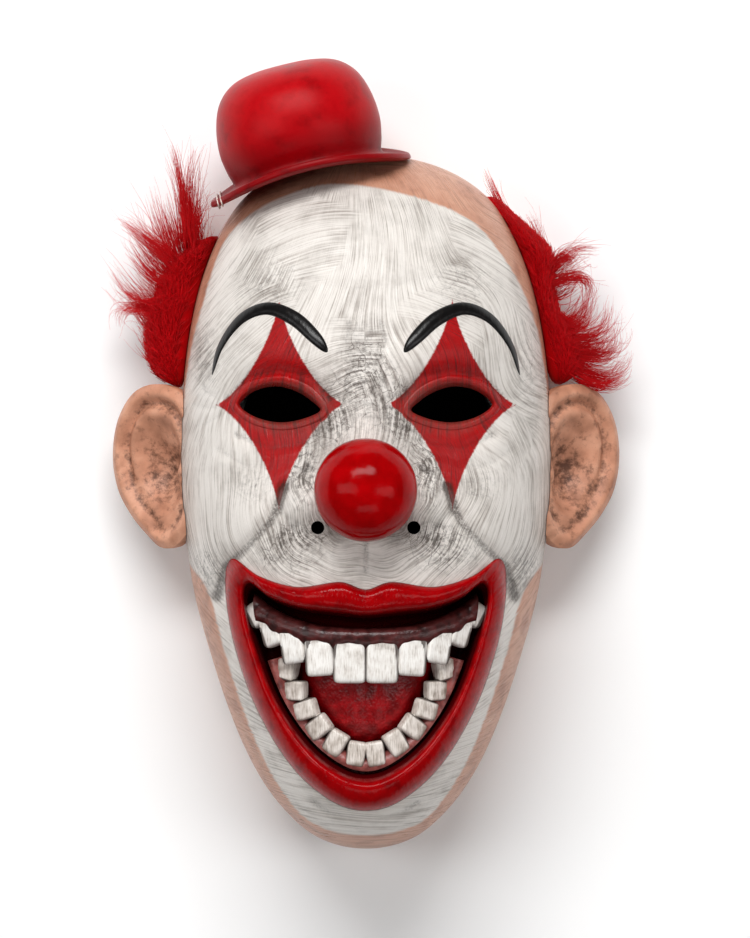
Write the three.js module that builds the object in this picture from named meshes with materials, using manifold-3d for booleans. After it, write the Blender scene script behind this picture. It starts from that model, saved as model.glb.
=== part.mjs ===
// A hard plastic clown mask that lies on its flat rim with the face up.
// +X is the viewer's right, +Y runs from the chin to the crown and +Z points out of the face.
// The origin is the middle of the open back, in the plane of the rim. Lengths are in millimetres.
import * as THREE from "three";
import { mergeVertices } from "three/addons/utils/BufferGeometryUtils.js";
import Module from "manifold-3d";

const wasm = await Module();
wasm.setup();

// Driving sizes of the shell.
const HALF_WIDTH = 83.5;
const HALF_HEIGHT = 157;
const RIM_DEPTH = 30;
const FACE_DEPTH = 86;
const WALL = 2.2;
const SECTION_SQUARENESS = 2.2;

// Driving sizes of the features in the face.
const EYE_SPACING = 76;
const EYE_UP = 43;
const EYE_WIDTH = 38;
const EYE_HEIGHT = 19;
const MOUTH_HALF_WIDTH = 62;
const MOUTH_HEIGHT = 102;
const CHIN_HEIGHT = 21;
const MOUTH_TOP = CHIN_HEIGHT + MOUTH_HEIGHT - HALF_HEIGHT;
const MOUTH_DEPTH = 26;
const LIP_HEIGHT = 5.5;
const BROW_WIDTH = 6;
const BROW_HEIGHT = 1.5;
const BROW_ROOT = 0.3;
const NOSTRIL_RADIUS = 2.9;
const NOSTRIL_SPACING = 42;
const NOSTRIL_UP = -11;

// Driving sizes of the pieces on the shell.
const NOSE_RADIUS = 22.5;
const NOSE_WALL = 2;
const NOSE_UP = 5.5;
const NOSE_SINK = 14;
const EAR_LENGTH = 74;
const EAR_REACH = 41;
const EAR_THICKNESS = 5;
const EAR_UP = 16;
const EAR_BACK_ANGLE = 36;
const EAR_FRONT = 44;
const HAT_LEAN = 13.9;
const HAT_NOD = 6;
const HAT_X = -26.7;
const HAT_SINK = 1.2;
const HAT_FRONT = 49;
const CROWN_RADIUS = 37;
const CROWN_HEIGHT = 45.5;
const BRIM_RADIUS = 46;
const HAT_WALL = 2.2;
const BRIM_SIDE_DROOP = 10.5;
const BRIM_FRONT_DROOP = 1.5;
const HAIR_FRONT = 27;
const HAIR_PAD_THICKNESS = 7;
const HAIR_PAD_DEPTH = 26;
const HAIR_REACH = 40;
const HAIR_ROOT = 12;
const TOOTH_THICKNESS = 7;
const TOOTH_SQUARENESS = 0.55;
const GUM_RADIUS = 4.2;
const TEETH_REACH = 1.068;
const LOWER_TEETH_INSET = 1.25;
const TONGUE_RISE = 12;
const TONGUE_EDGE = 1.3;
const TONGUE_GROOVE_WIDTH = 3.5;
const TONGUE_GROOVE_DEPTH = 2.5;
const SEAT_GAP = 0.3;

// How finely the curved surfaces are divided.
const FACE_RINGS = 14;
const FACE_SPOKES = 44;
const MOUTH_SPOKES = 28;
const EYE_STEPS = 24;
const NOSTRIL_STEPS = 12;
const EAR_SPOKES = 22;
const TONGUE_SPOKES = 18;
const BALL_SEGMENTS = 20;
const HAT_SEGMENTS = 26;

const COLOURS = {
  white_paint: { color: 0xe2dcd6, roughness: 0.45 },
  flesh_paint: { color: 0xc98f74, roughness: 0.5 },
  red_paint: { color: 0x9c0a12, roughness: 0.25 },
  red_fur: { color: 0xa00812, roughness: 0.9 },
  tooth_paint: { color: 0xeeebe6, roughness: 0.35 },
  tongue_paint: { color: 0x740a10, roughness: 0.3 },
};

// Sections of the shell from the chin to the crown. up is a share of the half height,
// wide of the half width and deep of the face depth.
const SECTIONS = [
  { up: -1.0, wide: 0, deep: 0 },
  { up: -0.97, wide: 0.25, deep: 0.37 },
  { up: -0.91, wide: 0.4, deep: 0.65 },
  { up: -0.8, wide: 0.565, deep: 0.87 },
  { up: -0.65, wide: 0.705, deep: 0.965 },
  { up: -0.45, wide: 0.835, deep: 1.0 },
  { up: -0.25, wide: 0.935, deep: 0.975 },
  { up: 0.0, wide: 0.995, deep: 0.955 },
  { up: 0.2, wide: 1.0, deep: 0.95 },
  { up: 0.4, wide: 0.977, deep: 0.955 },
  { up: 0.6, wide: 0.91, deep: 0.885 },
  { up: 0.76, wide: 0.8, deep: 0.76 },
  { up: 0.88, wide: 0.65, deep: 0.585 },
  { up: 0.96, wide: 0.41, deep: 0.345 },
  { up: 1.0, wide: 0, deep: 0 },
];

// Soft swellings and hollows of the face. side and across are shares of the half width,
// up and along of the half height, rise of the face depth. A row off the middle has a twin.
const SWELLINGS = [
  { name: "brow ridge", side: 0.42, up: 0.405, across: 0.3, along: 0.075, rise: 0.035 },
  { name: "eye socket", side: 0.46, up: 0.275, across: 0.25, along: 0.105, rise: -0.1 },
  { name: "nose bridge", side: 0, up: 0.19, across: 0.13, along: 0.17, rise: 0.085 },
  { name: "nose base", side: 0, up: 0.03, across: 0.27, along: 0.115, rise: 0.08 },
  { name: "nose wing", side: 0.31, up: -0.005, across: 0.12, along: 0.065, rise: 0.075 },
  { name: "cheek", side: 0.62, up: -0.06, across: 0.27, along: 0.14, rise: 0.1 },
  { name: "upper lip", side: 0, up: -0.19, across: 0.55, along: 0.09, rise: 0.035 },
  { name: "chin", side: 0, up: -0.9, across: 0.24, along: 0.07, rise: 0.05 },
];

// The smile folds beside the nose, as shares like those above.
const SMILE_FOLD = {
  width: 0.041,
  rise: -0.032,
  points: [
    { side: 0.43, up: 0.035 },
    { side: 0.5, up: -0.055 },
    { side: 0.62, up: -0.125 },
    { side: 0.745, up: -0.185 },
    { side: 0.79, up: -0.265 },
  ],
};

// The edge of an eye hole from its inner corner round by the top, as shares of half its size.
const EYE_LOOP = [
  { side: -1.0, up: -0.25 },
  { side: -0.62, up: 0.55 },
  { side: 0.0, up: 1.0 },
  { side: 0.62, up: 0.78 },
  { side: 1.0, up: 0.05 },
  { side: 0.62, up: -0.62 },
  { side: 0.0, up: -0.92 },
  { side: -0.62, up: -0.72 },
];

// The mouth from the middle of the top lip to the middle of the bottom lip. The sides are
// shares of the mouth's half width, the downs of its height. crest scales the lip's height.
const MOUTH_LOOP = [
  { outSide: 0.0, outDown: 0.037, inSide: 0.0, inDown: 0.154, crest: 0.85 },
  { outSide: 0.183, outDown: 0.005, inSide: 0.183, inDown: 0.144, crest: 1.0 },
  { outSide: 0.483, outDown: 0.027, inSide: 0.467, inDown: 0.122, crest: 0.95 },
  { outSide: 0.75, outDown: -0.016, inSide: 0.675, inDown: 0.08, crest: 0.8 },
  { outSide: 0.95, outDown: -0.09, inSide: 0.825, inDown: 0.021, crest: 0.6 },
  { outSide: 1.008, outDown: 0.021, inSide: 0.858, inDown: 0.101, crest: 0.65 },
  { outSide: 0.95, outDown: 0.277, inSide: 0.783, inDown: 0.282, crest: 0.85 },
  { outSide: 0.783, outDown: 0.564, inSide: 0.633, inDown: 0.516, crest: 0.95 },
  { outSide: 0.533, outDown: 0.809, inSide: 0.425, inDown: 0.702, crest: 1.0 },
  { outSide: 0.25, outDown: 0.957, inSide: 0.2, inDown: 0.814, crest: 1.05 },
  { outSide: 0.0, outDown: 1.0, inSide: 0.0, inDown: 0.851, crest: 1.1 },
];

// The lips and the hollow behind them. across runs from 0 at the lip's outer edge by 1 at its
// inner edge to 2 at the middle. crest is a share of the lip height, sink of the mouth depth.
const MOUTH_FRONT = [
  { across: 1.6, crest: 0, sink: 1 },
  { across: 1.22, crest: 0, sink: 1 },
  { across: 1.08, crest: 0, sink: 0.85 },
  { across: 1.02, crest: 0, sink: 0.3 },
  { across: 0.96, crest: 0.1, sink: 0.05 },
  { across: 0.78, crest: 0.78, sink: 0 },
  { across: 0.5, crest: 1, sink: 0 },
  { across: 0.24, crest: 0.85, sink: 0 },
  { across: 0.07, crest: 0.4, sink: 0 },
  { across: 0, crest: -0.16, sink: 0 },
];
const MOUTH_BACK = [
  { across: 0.08, crest: 0, sink: 0 },
  { across: 0.72, crest: 0, sink: 0 },
  { across: 0.8, crest: 0, sink: 0.3 },
  { across: 0.88, crest: 0, sink: 0.95 },
  { across: 1.22, crest: 0, sink: 1 },
  { across: 1.6, crest: 0, sink: 1 },
];

// Each raised eyebrow from its inner end to its outer end. side is a share of the half width,
// up of the half height, wide and high of the brow's own width and height.
const BROW = [
  { side: 0.2, up: 0.418, wide: 0.6, high: 0.7 },
  { side: 0.27, up: 0.462, wide: 1.0, high: 1.0 },
  { side: 0.38, up: 0.515, wide: 1.1, high: 1.0 },
  { side: 0.52, up: 0.543, wide: 0.95, high: 0.9 },
  { side: 0.66, up: 0.515, wide: 0.75, high: 0.75 },
  { side: 0.77, up: 0.44, wide: 0.5, high: 0.55 },
  { side: 0.82, up: 0.355, wide: 0.25, high: 0.35 },
];

// Upper and lower teeth of one side, from the middle out. side and wide are shares of the
// mouth's half width, down and tall of its height. turn tips a tooth's edge to the middle.
// round is the share of the way round the mouth from the middle of the top lip.
const UPPER_TEETH = [
  { side: 0.113, down: 0.345, wide: 0.218, tall: 0.198, turn: 0 },
  { side: 0.323, down: 0.325, wide: 0.195, tall: 0.178, turn: 4 },
  { side: 0.508, down: 0.283, wide: 0.172, tall: 0.16, turn: 10 },
  { side: 0.66, down: 0.222, wide: 0.15, tall: 0.135, turn: 18 },
  { side: 0.768, down: 0.152, wide: 0.118, tall: 0.108, turn: 28 },
];
const LOWER_TEETH = [
  { round: 0.477, wide: 0.15, tall: 0.112 },
  { round: 0.431, wide: 0.15, tall: 0.112 },
  { round: 0.396, wide: 0.15, tall: 0.11 },
  { round: 0.368, wide: 0.15, tall: 0.106 },
  { round: 0.342, wide: 0.145, tall: 0.1 },
  { round: 0.317, wide: 0.135, tall: 0.094 },
];
const UPPER_TEETH_SINK = 0.36;
const LOWER_TEETH_SINK = 0.5;

// The edge of an ear, from its top by the rim to the lobe and back inside the shell.
// out is a share of the ear's reach, up of its length.
const EAR_LOOP = [
  { out: 0.02, up: 0.43 },
  { out: 0.36, up: 0.5 },
  { out: 0.7, up: 0.45 },
  { out: 0.93, up: 0.28 },
  { out: 1.0, up: 0.06 },
  { out: 0.93, up: -0.14 },
  { out: 0.76, up: -0.29 },
  { out: 0.54, up: -0.41 },
  { out: 0.3, up: -0.5 },
  { out: 0.05, up: -0.46 },
  { out: -0.2, up: -0.25 },
  { out: -0.2, up: 0.2 },
];
const EAR_BOWL = { out: 0.34, up: -0.04, across: 0.3, along: 0.2, rise: -1.9 };
const EAR_RIM_INSET = 4.2;
const EAR_RIM_RISE = 0.75;
const EAR_FOLD_INSET = 13;
const EAR_FOLD_RISE = 0.55;

// The hat from the middle of its top by the brim to the middle of its hollow. radius is a
// share of the crown's radius up to the brim rows, up of its height.
const HAT_OUTSIDE = [
  { radius: 0, up: 1 },
  { radius: 0.35, up: 0.985 },
  { radius: 0.64, up: 0.925 },
  { radius: 0.85, up: 0.79 },
  { radius: 0.965, up: 0.6 },
  { radius: 1.0, up: 0.4 },
  { radius: 0.965, up: 0.22 },
  { radius: 0.925, up: 0.09 },
];
// The brim's rows are shares of the way from the crown's foot to the brim's edge.
const HAT_BRIM = [
  { out: 0.15, up: 0.05 },
  { out: 0.55, up: 0.045 },
  { out: 0.9, up: 0.085 },
  { out: 1.0, up: 0.075 },
  { out: 0.98, up: 0.03 },
  { out: 0.6, up: -0.01 },
  { out: 0.1, up: -0.01 },
];

// Locks of fur on each side. along is the share of the way up the pad, aim the direction in
// degrees from straight out towards the crown and curl how far it turns. reach and root are
// shares of the longest reach and the thickest root, front of the depth of the pad.
const HAIR_PAD = { left: [0.4, 0.77], right: [0.4, 0.85] };
const HAIR_LOCKS = {
  left: [
    { along: 0.02, aim: -4, reach: 0.42, root: 0.75, curl: 10, front: 0.06 },
    { along: 0.14, aim: 14, reach: 0.62, root: 0.92, curl: 12, front: -0.15 },
    { along: 0.28, aim: 24, reach: 0.8, root: 1, curl: -8, front: 0.15 },
    { along: 0.42, aim: 34, reach: 0.9, root: 1, curl: 14, front: -0.09 },
    { along: 0.56, aim: 46, reach: 1, root: 1, curl: -10, front: 0.18 },
    { along: 0.7, aim: 58, reach: 1, root: 0.92, curl: 8, front: -0.12 },
    { along: 0.84, aim: 70, reach: 0.95, root: 0.83, curl: -6, front: 0.12 },
    { along: 0.98, aim: 82, reach: 0.75, root: 0.67, curl: 4, front: 0 },
  ],
  right: [
    { along: 0.02, aim: -2, reach: 0.75, root: 0.92, curl: 12, front: 0.09 },
    { along: 0.15, aim: 8, reach: 0.95, root: 1, curl: 14, front: -0.15 },
    { along: 0.29, aim: 18, reach: 0.9, root: 1, curl: -10, front: 0.15 },
    { along: 0.43, aim: 28, reach: 0.85, root: 1, curl: 12, front: -0.09 },
    { along: 0.57, aim: 38, reach: 0.75, root: 0.92, curl: -8, front: 0.15 },
    { along: 0.71, aim: 52, reach: 0.6, root: 0.83, curl: 8, front: -0.09 },
    { along: 0.85, aim: 66, reach: 0.5, root: 0.67, curl: -4, front: 0.06 },
    { along: 0.98, aim: 78, reach: 0.45, root: 0.5, curl: 2, front: 0 },
  ],
};

const DEGREE = Math.PI / 180;
const clamp = (value, low, high) => Math.min(high, Math.max(low, value));
const mix = (a, b, share) => a + (b - a) * share;

function smoothStep(low, high, value) {
  const share = clamp((value - low) / (high - low), 0, 1);
  return share * share * (3 - 2 * share);
}

// The value at a place between knots, on a curve through every knot.
function curveThrough(knots, values, place) {
  let i = 0;
  while (i < knots.length - 2 && place > knots[i + 1]) i += 1;
  const slope = (k) => {
    const before = Math.max(0, k - 1);
    const after = Math.min(knots.length - 1, k + 1);
    return (values[after] - values[before]) / (knots[after] - knots[before]);
  };
  const span = knots[i + 1] - knots[i];
  const s = clamp((place - knots[i]) / span, 0, 1);
  const startPull = s * (1 - s) * (1 - s) * span * slope(i);
  const endPull = s * s * (s - 1) * span * slope(i + 1);
  return mix(values[i], values[i + 1], s * s * (3 - 2 * s)) + startPull + endPull;
}

// A point on the closed curve through a list of points, for a share of the way round.
function loopPoint(points, share) {
  const count = points.length;
  const place = (((share % 1) + 1) % 1) * count;
  const i = Math.floor(place);
  const s = place - i;
  const at = (k) => points[(i + k + count) % count];
  return at(0).map((value, axis) => {
    const before = at(-1)[axis];
    const next = at(1)[axis];
    const after = at(2)[axis];
    const slopeHere = (next - before) / 2;
    const slopeNext = (after - value) / 2;
    const bend = slopeHere * s * (1 - s) * (1 - s) + slopeNext * s * s * (s - 1);
    return mix(value, next, s * s * (3 - 2 * s)) + bend;
  });
}

function sectionCurve(column, angle) {
  const knots = SECTIONS.map((row) => Math.asin(row.up));
  return curveThrough(knots, SECTIONS.map((row) => row[column]), angle);
}

// Height of the plain dome above the rim band, with the dome grown or shrunk by a distance.
function domeHeight(x, y, grow) {
  const up = clamp(y / (HALF_HEIGHT + grow), -1, 1);
  const angle = Math.asin(up);
  const halfWidth = (HALF_WIDTH + grow) * sectionCurve("wide", angle);
  const depth = (FACE_DEPTH + grow) * sectionCurve("deep", angle);
  const across = halfWidth > 1e-6 ? clamp(Math.abs(x) / halfWidth, 0, 1) : 0;
  return depth * Math.sqrt(Math.max(0, 1 - across ** SECTION_SQUARENESS));
}

function distanceToPath(x, y, path) {
  let nearest = Infinity;
  for (let i = 1; i < path.length; i += 1) {
    const [ax, ay] = path[i - 1];
    const [bx, by] = path[i];
    const run = (bx - ax) ** 2 + (by - ay) ** 2;
    const s = clamp(((x - ax) * (bx - ax) + (y - ay) * (by - ay)) / run, 0, 1);
    nearest = Math.min(nearest, Math.hypot(x - mix(ax, bx, s), y - mix(ay, by, s)));
  }
  return nearest;
}

const foldPath = SMILE_FOLD.points.map((row) => [row.side * HALF_WIDTH, row.up * HALF_HEIGHT]);

// The swellings and folds, which fade out towards the rim.
function relief(x, y) {
  let rise = 0;
  for (const row of SWELLINGS) {
    const spreadUp = ((y / HALF_HEIGHT - row.up) / row.along) ** 2;
    const sides = row.side === 0 ? [0] : [row.side, -row.side];
    for (const side of sides) {
      const spread = ((x / HALF_WIDTH - side) / row.across) ** 2;
      rise += row.rise * Math.exp(-spread - spreadUp);
    }
  }
  const fold = distanceToPath(Math.abs(x), y, foldPath) / (SMILE_FOLD.width * HALF_WIDTH);
  rise += SMILE_FOLD.rise * Math.exp(-fold * fold);
  return rise * FACE_DEPTH * smoothStep(0.12, 0.5, domeHeight(x, y, 0) / FACE_DEPTH);
}

const faceHeight = (x, y, grow = 0) => RIM_DEPTH + domeHeight(x, y, grow) + relief(x, y);

// A closed surface through loops of points, from one end point to the other, facing outwards.
function skin(startPoint, loops, endPoint) {
  const count = loops[0].length;
  const points = [startPoint, ...loops.flat(), endPoint];
  const last = points.length - 1;
  const at = (loop, k) => 1 + loop * count + (k % count);
  const triangles = [];
  for (let k = 0; k < count; k += 1) {
    triangles.push([0, at(0, k), at(0, k + 1)]);
    triangles.push([last, at(loops.length - 1, k + 1), at(loops.length - 1, k)]);
    for (let loop = 1; loop < loops.length; loop += 1) {
      triangles.push([at(loop - 1, k), at(loop, k), at(loop, k + 1)]);
      triangles.push([at(loop - 1, k), at(loop, k + 1), at(loop - 1, k + 1)]);
    }
  }
  const sixth = (t) => {
    const [a, b, c] = t.map((i) => new THREE.Vector3(...points[i]));
    return a.dot(b.cross(c));
  };
  const inwards = triangles.reduce((sum, t) => sum + sixth(t), 0) < 0;
  const turned = inwards ? triangles.map(([a, b, c]) => [a, c, b]) : triangles;
  return new THREE.BufferGeometry()
    .setAttribute("position", new THREE.Float32BufferAttribute(points.flat(), 3))
    .setIndex(turned.flat());
}

function solidOf(geometry) {
  const bare = geometry.clone();
  bare.deleteAttribute("normal");
  bare.deleteAttribute("uv");
  const merged = mergeVertices(bare, 1e-4);
  return new wasm.Manifold(
    new wasm.Mesh({
      numProp: 3,
      vertProperties: new Float32Array(merged.attributes.position.array),
      triVerts: new Uint32Array(merged.index.array),
    }),
  );
}

function meshOf(solid, name, look) {
  const made = solid.getMesh();
  const corners = new Float32Array(made.numVert * 3);
  for (let i = 0; i < made.numVert; i += 1) {
    corners.set(made.vertProperties.subarray(i * made.numProp, i * made.numProp + 3), i * 3);
  }
  const geometry = new THREE.BufferGeometry()
    .setAttribute("position", new THREE.BufferAttribute(corners, 3))
    .setIndex(new THREE.BufferAttribute(new Uint32Array(made.triVerts), 1));
  geometry.computeVertexNormals();
  const mesh = new THREE.Mesh(geometry, new THREE.MeshStandardMaterial(COLOURS[look]));
  mesh.name = name;
  return mesh;
}

const largest = (solid) => solid.decompose().sort((a, b) => b.volume() - a.volume())[0];

// A solid made in a piece's own frame, with a cutter that stands in the mask's frame taken off.
function seated(geometry, placement, cutter) {
  const world = solidOf(geometry.clone().applyMatrix4(placement)).subtract(cutter);
  return largest(world).transform(placement.clone().invert().elements);
}

function placed(mesh, placement) {
  placement.decompose(mesh.position, mesh.quaternion, mesh.scale);
  return mesh;
}

// The solid under the face, from a flat foot up to the face surface moved out by a distance.
function faceSolid(grow, foot) {
  const centreUp = NOSE_UP;
  const loops = [];
  for (let ring = 1; ring <= FACE_RINGS; ring += 1) {
    const share = Math.sin((ring / FACE_RINGS) * (Math.PI / 2));
    loops.push(
      Array.from({ length: FACE_SPOKES }, (_, k) => {
        const angle = (k / FACE_SPOKES) * 2 * Math.PI;
        const climb = Math.asin(Math.sin(angle));
        const edgeX = Math.sign(Math.cos(angle)) * (HALF_WIDTH + grow) * sectionCurve("wide", climb);
        const edgeY = (HALF_HEIGHT + grow) * Math.sin(angle);
        const x = edgeX * share;
        const y = mix(centreUp, edgeY, share);
        return [x, y, ring === FACE_RINGS ? RIM_DEPTH : faceHeight(x, y, grow)];
      }),
    );
  }
  loops.push(loops.at(-1).map(([x, y]) => [x, y, foot]));
  return solidOf(skin([0, centreUp, faceHeight(0, centreUp, grow)], loops, [0, centreUp, foot]));
}

// The mouth's outer and inner edges as one closed list of rows, right side down and left side up.
const mouthRows = [
  ...MOUTH_LOOP,
  ...MOUTH_LOOP.slice(1, -1)
    .reverse()
    .map((row) => ({ ...row, outSide: -row.outSide, inSide: -row.inSide })),
].map((row) => [
  row.outSide * MOUTH_HALF_WIDTH,
  MOUTH_TOP - row.outDown * MOUTH_HEIGHT,
  row.inSide * MOUTH_HALF_WIDTH,
  MOUTH_TOP - row.inDown * MOUTH_HEIGHT,
  row.crest,
]);
const MOUTH_MIDDLE = [0, MOUTH_TOP - 0.48 * MOUTH_HEIGHT];

// A point of the lips or of the hollow behind them, in plan, with the lip's crest there.
function mouthPoint(share, across) {
  const [outX, outY, inX, inY, crest] = loopPoint(mouthRows, share);
  const inner = across - 1;
  const x = across < 1 ? mix(outX, inX, across) : mix(inX, MOUTH_MIDDLE[0], inner);
  const y = across < 1 ? mix(outY, inY, across) : mix(inY, MOUTH_MIDDLE[1], inner);
  return { x, y, crest };
}

function mouthLoop(row, rise, inwards) {
  const across = row.across + (row.sink > 0 ? inwards / MOUTH_HALF_WIDTH : 0);
  return Array.from({ length: MOUTH_SPOKES }, (_, k) => {
    const { x, y, crest } = mouthPoint(k / MOUTH_SPOKES, across);
    const lift = row.crest * crest * LIP_HEIGHT - row.sink * MOUTH_DEPTH + rise;
    return [x, y, faceHeight(x, y) + lift];
  });
}

// The lips and the hollow behind them, with the front thickened by a distance.
function mouthSolid(grow) {
  const floor = faceHeight(...MOUTH_MIDDLE) - MOUTH_DEPTH;
  const front = MOUTH_FRONT.map((row) => mouthLoop(row, grow, 2 * grow));
  const back = MOUTH_BACK.map((row) => mouthLoop(row, -WALL, 0));
  const middle = (height) => [...MOUTH_MIDDLE, height];
  return solidOf(skin(middle(floor + grow), [...front, ...back], middle(floor - WALL)));
}

// A straight cutter through the whole shell, with a closed outline in plan.
function plug(outline) {
  const shape = new THREE.Shape(outline.map(([x, y]) => new THREE.Vector2(x, y)));
  const height = 2 * (RIM_DEPTH + FACE_DEPTH);
  return solidOf(new THREE.ExtrudeGeometry(shape, { depth: height, bevelEnabled: false }));
}

function mouthOutline(across) {
  return Array.from({ length: MOUTH_SPOKES }, (_, k) => {
    const { x, y } = mouthPoint(k / MOUTH_SPOKES, across);
    return [x, y];
  });
}

function eyeOutline(side) {
  const points = EYE_LOOP.map((row) => [
    side * (EYE_SPACING / 2 + (row.side * EYE_WIDTH) / 2),
    EYE_UP + (row.up * EYE_HEIGHT) / 2,
  ]);
  return Array.from({ length: EYE_STEPS }, (_, k) => loopPoint(points, k / EYE_STEPS));
}

function nostrilOutline(side) {
  return Array.from({ length: NOSTRIL_STEPS }, (_, k) => {
    const angle = (k / NOSTRIL_STEPS) * 2 * Math.PI;
    const x = (side * NOSTRIL_SPACING) / 2 + NOSTRIL_RADIUS * Math.cos(angle);
    return [x, NOSTRIL_UP + NOSTRIL_RADIUS * Math.sin(angle)];
  });
}

// A tube of round sections through stations of { centre, out, up, radius, depth }.
function tube(stations, sides) {
  const loops = stations.map((s) =>
    Array.from({ length: sides }, (_, k) => {
      const angle = (k / sides) * 2 * Math.PI;
      return s.centre
        .clone()
        .addScaledVector(s.out, s.radius * Math.cos(angle))
        .addScaledVector(s.up, s.depth * Math.sin(angle))
        .toArray();
    }),
  );
  const first = stations[0].centre.toArray();
  const last = stations.at(-1).centre.toArray();
  return skin(first, loops, last);
}

const onFace = (x, y, lift) => new THREE.Vector3(x, y, faceHeight(x, y) + lift);

function browSolid(side) {
  const steps = 9;
  const knots = BROW.map((_, k) => k / (BROW.length - 1));
  const column = (name, place) => curveThrough(knots, BROW.map((row) => row[name]), place);
  const at = (place) => {
    const x = side * column("side", place) * HALF_WIDTH;
    return onFace(x, column("up", place) * HALF_HEIGHT, -BROW_ROOT);
  };
  const stations = Array.from({ length: steps + 1 }, (_, k) => {
    const place = k / steps;
    const along = at(Math.min(1, place + 0.02)).sub(at(Math.max(0, place - 0.02))).normalize();
    const up = new THREE.Vector3(0, 0, 1).addScaledVector(along, -along.z).normalize();
    const out = new THREE.Vector3().crossVectors(along, up);
    const radius = (column("wide", place) * BROW_WIDTH) / 2;
    const depth = column("high", place) * BROW_HEIGHT + BROW_ROOT;
    return { centre: at(place), out, up, radius, depth };
  });
  return solidOf(tube(stations, 6));
}

function maskShell() {
  const outside = faceSolid(0, 0);
  const inside = faceSolid(-WALL, -WALL);
  let shell = outside.subtract(inside).subtract(plug(mouthOutline(0.5))).add(mouthSolid(0));
  for (const side of [-1, 1]) {
    shell = shell.add(browSolid(side));
    shell = shell.subtract(plug(eyeOutline(side))).subtract(plug(nostrilOutline(side)));
  }
  return meshOf(shell, "mask_shell", "white_paint");
}

function noseBall(cutter) {
  const front = faceHeight(0, NOSE_UP) + NOSE_RADIUS - NOSE_SINK;
  const placement = new THREE.Matrix4().makeTranslation(0, NOSE_UP, front);
  const ball = solidOf(new THREE.SphereGeometry(NOSE_RADIUS, BALL_SEGMENTS, 10));
  const hollow = solidOf(new THREE.SphereGeometry(NOSE_RADIUS - NOSE_WALL, 12, 6));
  const move = placement.elements;
  const cap = ball.transform(move).subtract(cutter).subtract(hollow.transform(move));
  const local = cap.transform(placement.clone().invert().elements);
  return placed(meshOf(local, "nose_ball", "red_paint"), placement);
}

// Height of an ear's front over its own plane at a place in that plane.
function earFront(out, up, inset) {
  const bowlAcross = (out / EAR_REACH - EAR_BOWL.out) / EAR_BOWL.across;
  const bowlAlong = (up / EAR_LENGTH - EAR_BOWL.up) / EAR_BOWL.along;
  const bowl = EAR_BOWL.rise * Math.exp(-(bowlAcross ** 2) - bowlAlong ** 2);
  const rim = EAR_RIM_RISE * Math.exp(-(((inset - EAR_RIM_INSET) / EAR_RIM_INSET) ** 2));
  const fold = EAR_FOLD_RISE * Math.exp(-(((inset - EAR_FOLD_INSET) / EAR_RIM_INSET) ** 2));
  return EAR_THICKNESS * (bowl + rim + fold);
}

function earGeometry() {
  const edge = EAR_LOOP.map((row) => [row.out * EAR_REACH, row.up * EAR_LENGTH]);
  const spokes = EAR_SPOKES;
  const middle = [EAR_BOWL.out * EAR_REACH, EAR_BOWL.up * EAR_LENGTH];
  const ring = (share, height) =>
    Array.from({ length: spokes }, (_, k) => {
      const [edgeOut, edgeUp] = loopPoint(edge, k / spokes);
      const out = mix(middle[0], edgeOut, share);
      const up = mix(middle[1], edgeUp, share);
      return [out, up, height(out, up, Math.hypot(edgeOut - out, edgeUp - up))];
    });
  const frontShares = [0.2, 0.4, 0.55, 0.68, 0.8, 0.9, 0.97];
  const back = (out, up) => {
    const bowlAcross = (out / EAR_REACH - EAR_BOWL.out) / EAR_BOWL.across;
    const bowlAlong = (up / EAR_LENGTH - EAR_BOWL.up) / EAR_BOWL.along;
    const behindBowl = EAR_BOWL.rise * Math.exp(-(bowlAcross ** 2) - bowlAlong ** 2);
    return EAR_THICKNESS * (behindBowl - 1);
  };
  const loops = [
    ...frontShares.map((share) => ring(share, earFront)),
    ring(1, () => -EAR_THICKNESS / 2),
    ...[0.9, 0.6, 0.3].map((share) => ring(share, back)),
  ];
  const frontPoint = [...middle, earFront(...middle, EAR_REACH)];
  return skin(frontPoint, loops, [...middle, back(...middle)]);
}

function ear(side, cutter) {
  const mirror = new THREE.Matrix4().makeScale(side, 1, 1);
  const turn = new THREE.Matrix4().makeRotationY(EAR_BACK_ANGLE * DEGREE);
  const shift = new THREE.Matrix4().makeTranslation(HALF_WIDTH - WALL, EAR_UP, EAR_FRONT - WALL);
  const inPlace = earGeometry().applyMatrix4(mirror.multiply(shift).multiply(turn));
  const solid = side < 0 ? solidOf(turnedInsideOut(inPlace)) : solidOf(inPlace);
  return meshOf(largest(solid.subtract(cutter)), side < 0 ? "ear_left" : "ear_right", "flesh_paint");
}

function turnedInsideOut(geometry) {
  const index = geometry.index.array;
  for (let i = 0; i < index.length; i += 3) {
    [index[i + 1], index[i + 2]] = [index[i + 2], index[i + 1]];
  }
  return geometry;
}

// How far up the outline of the shell runs at a distance from the middle.
function crownAbove(x) {
  let angle = Math.PI / 2;
  while (HALF_WIDTH * sectionCurve("wide", angle) < Math.abs(x)) angle -= DEGREE / 4;
  return HALF_HEIGHT * Math.sin(angle);
}

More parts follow.
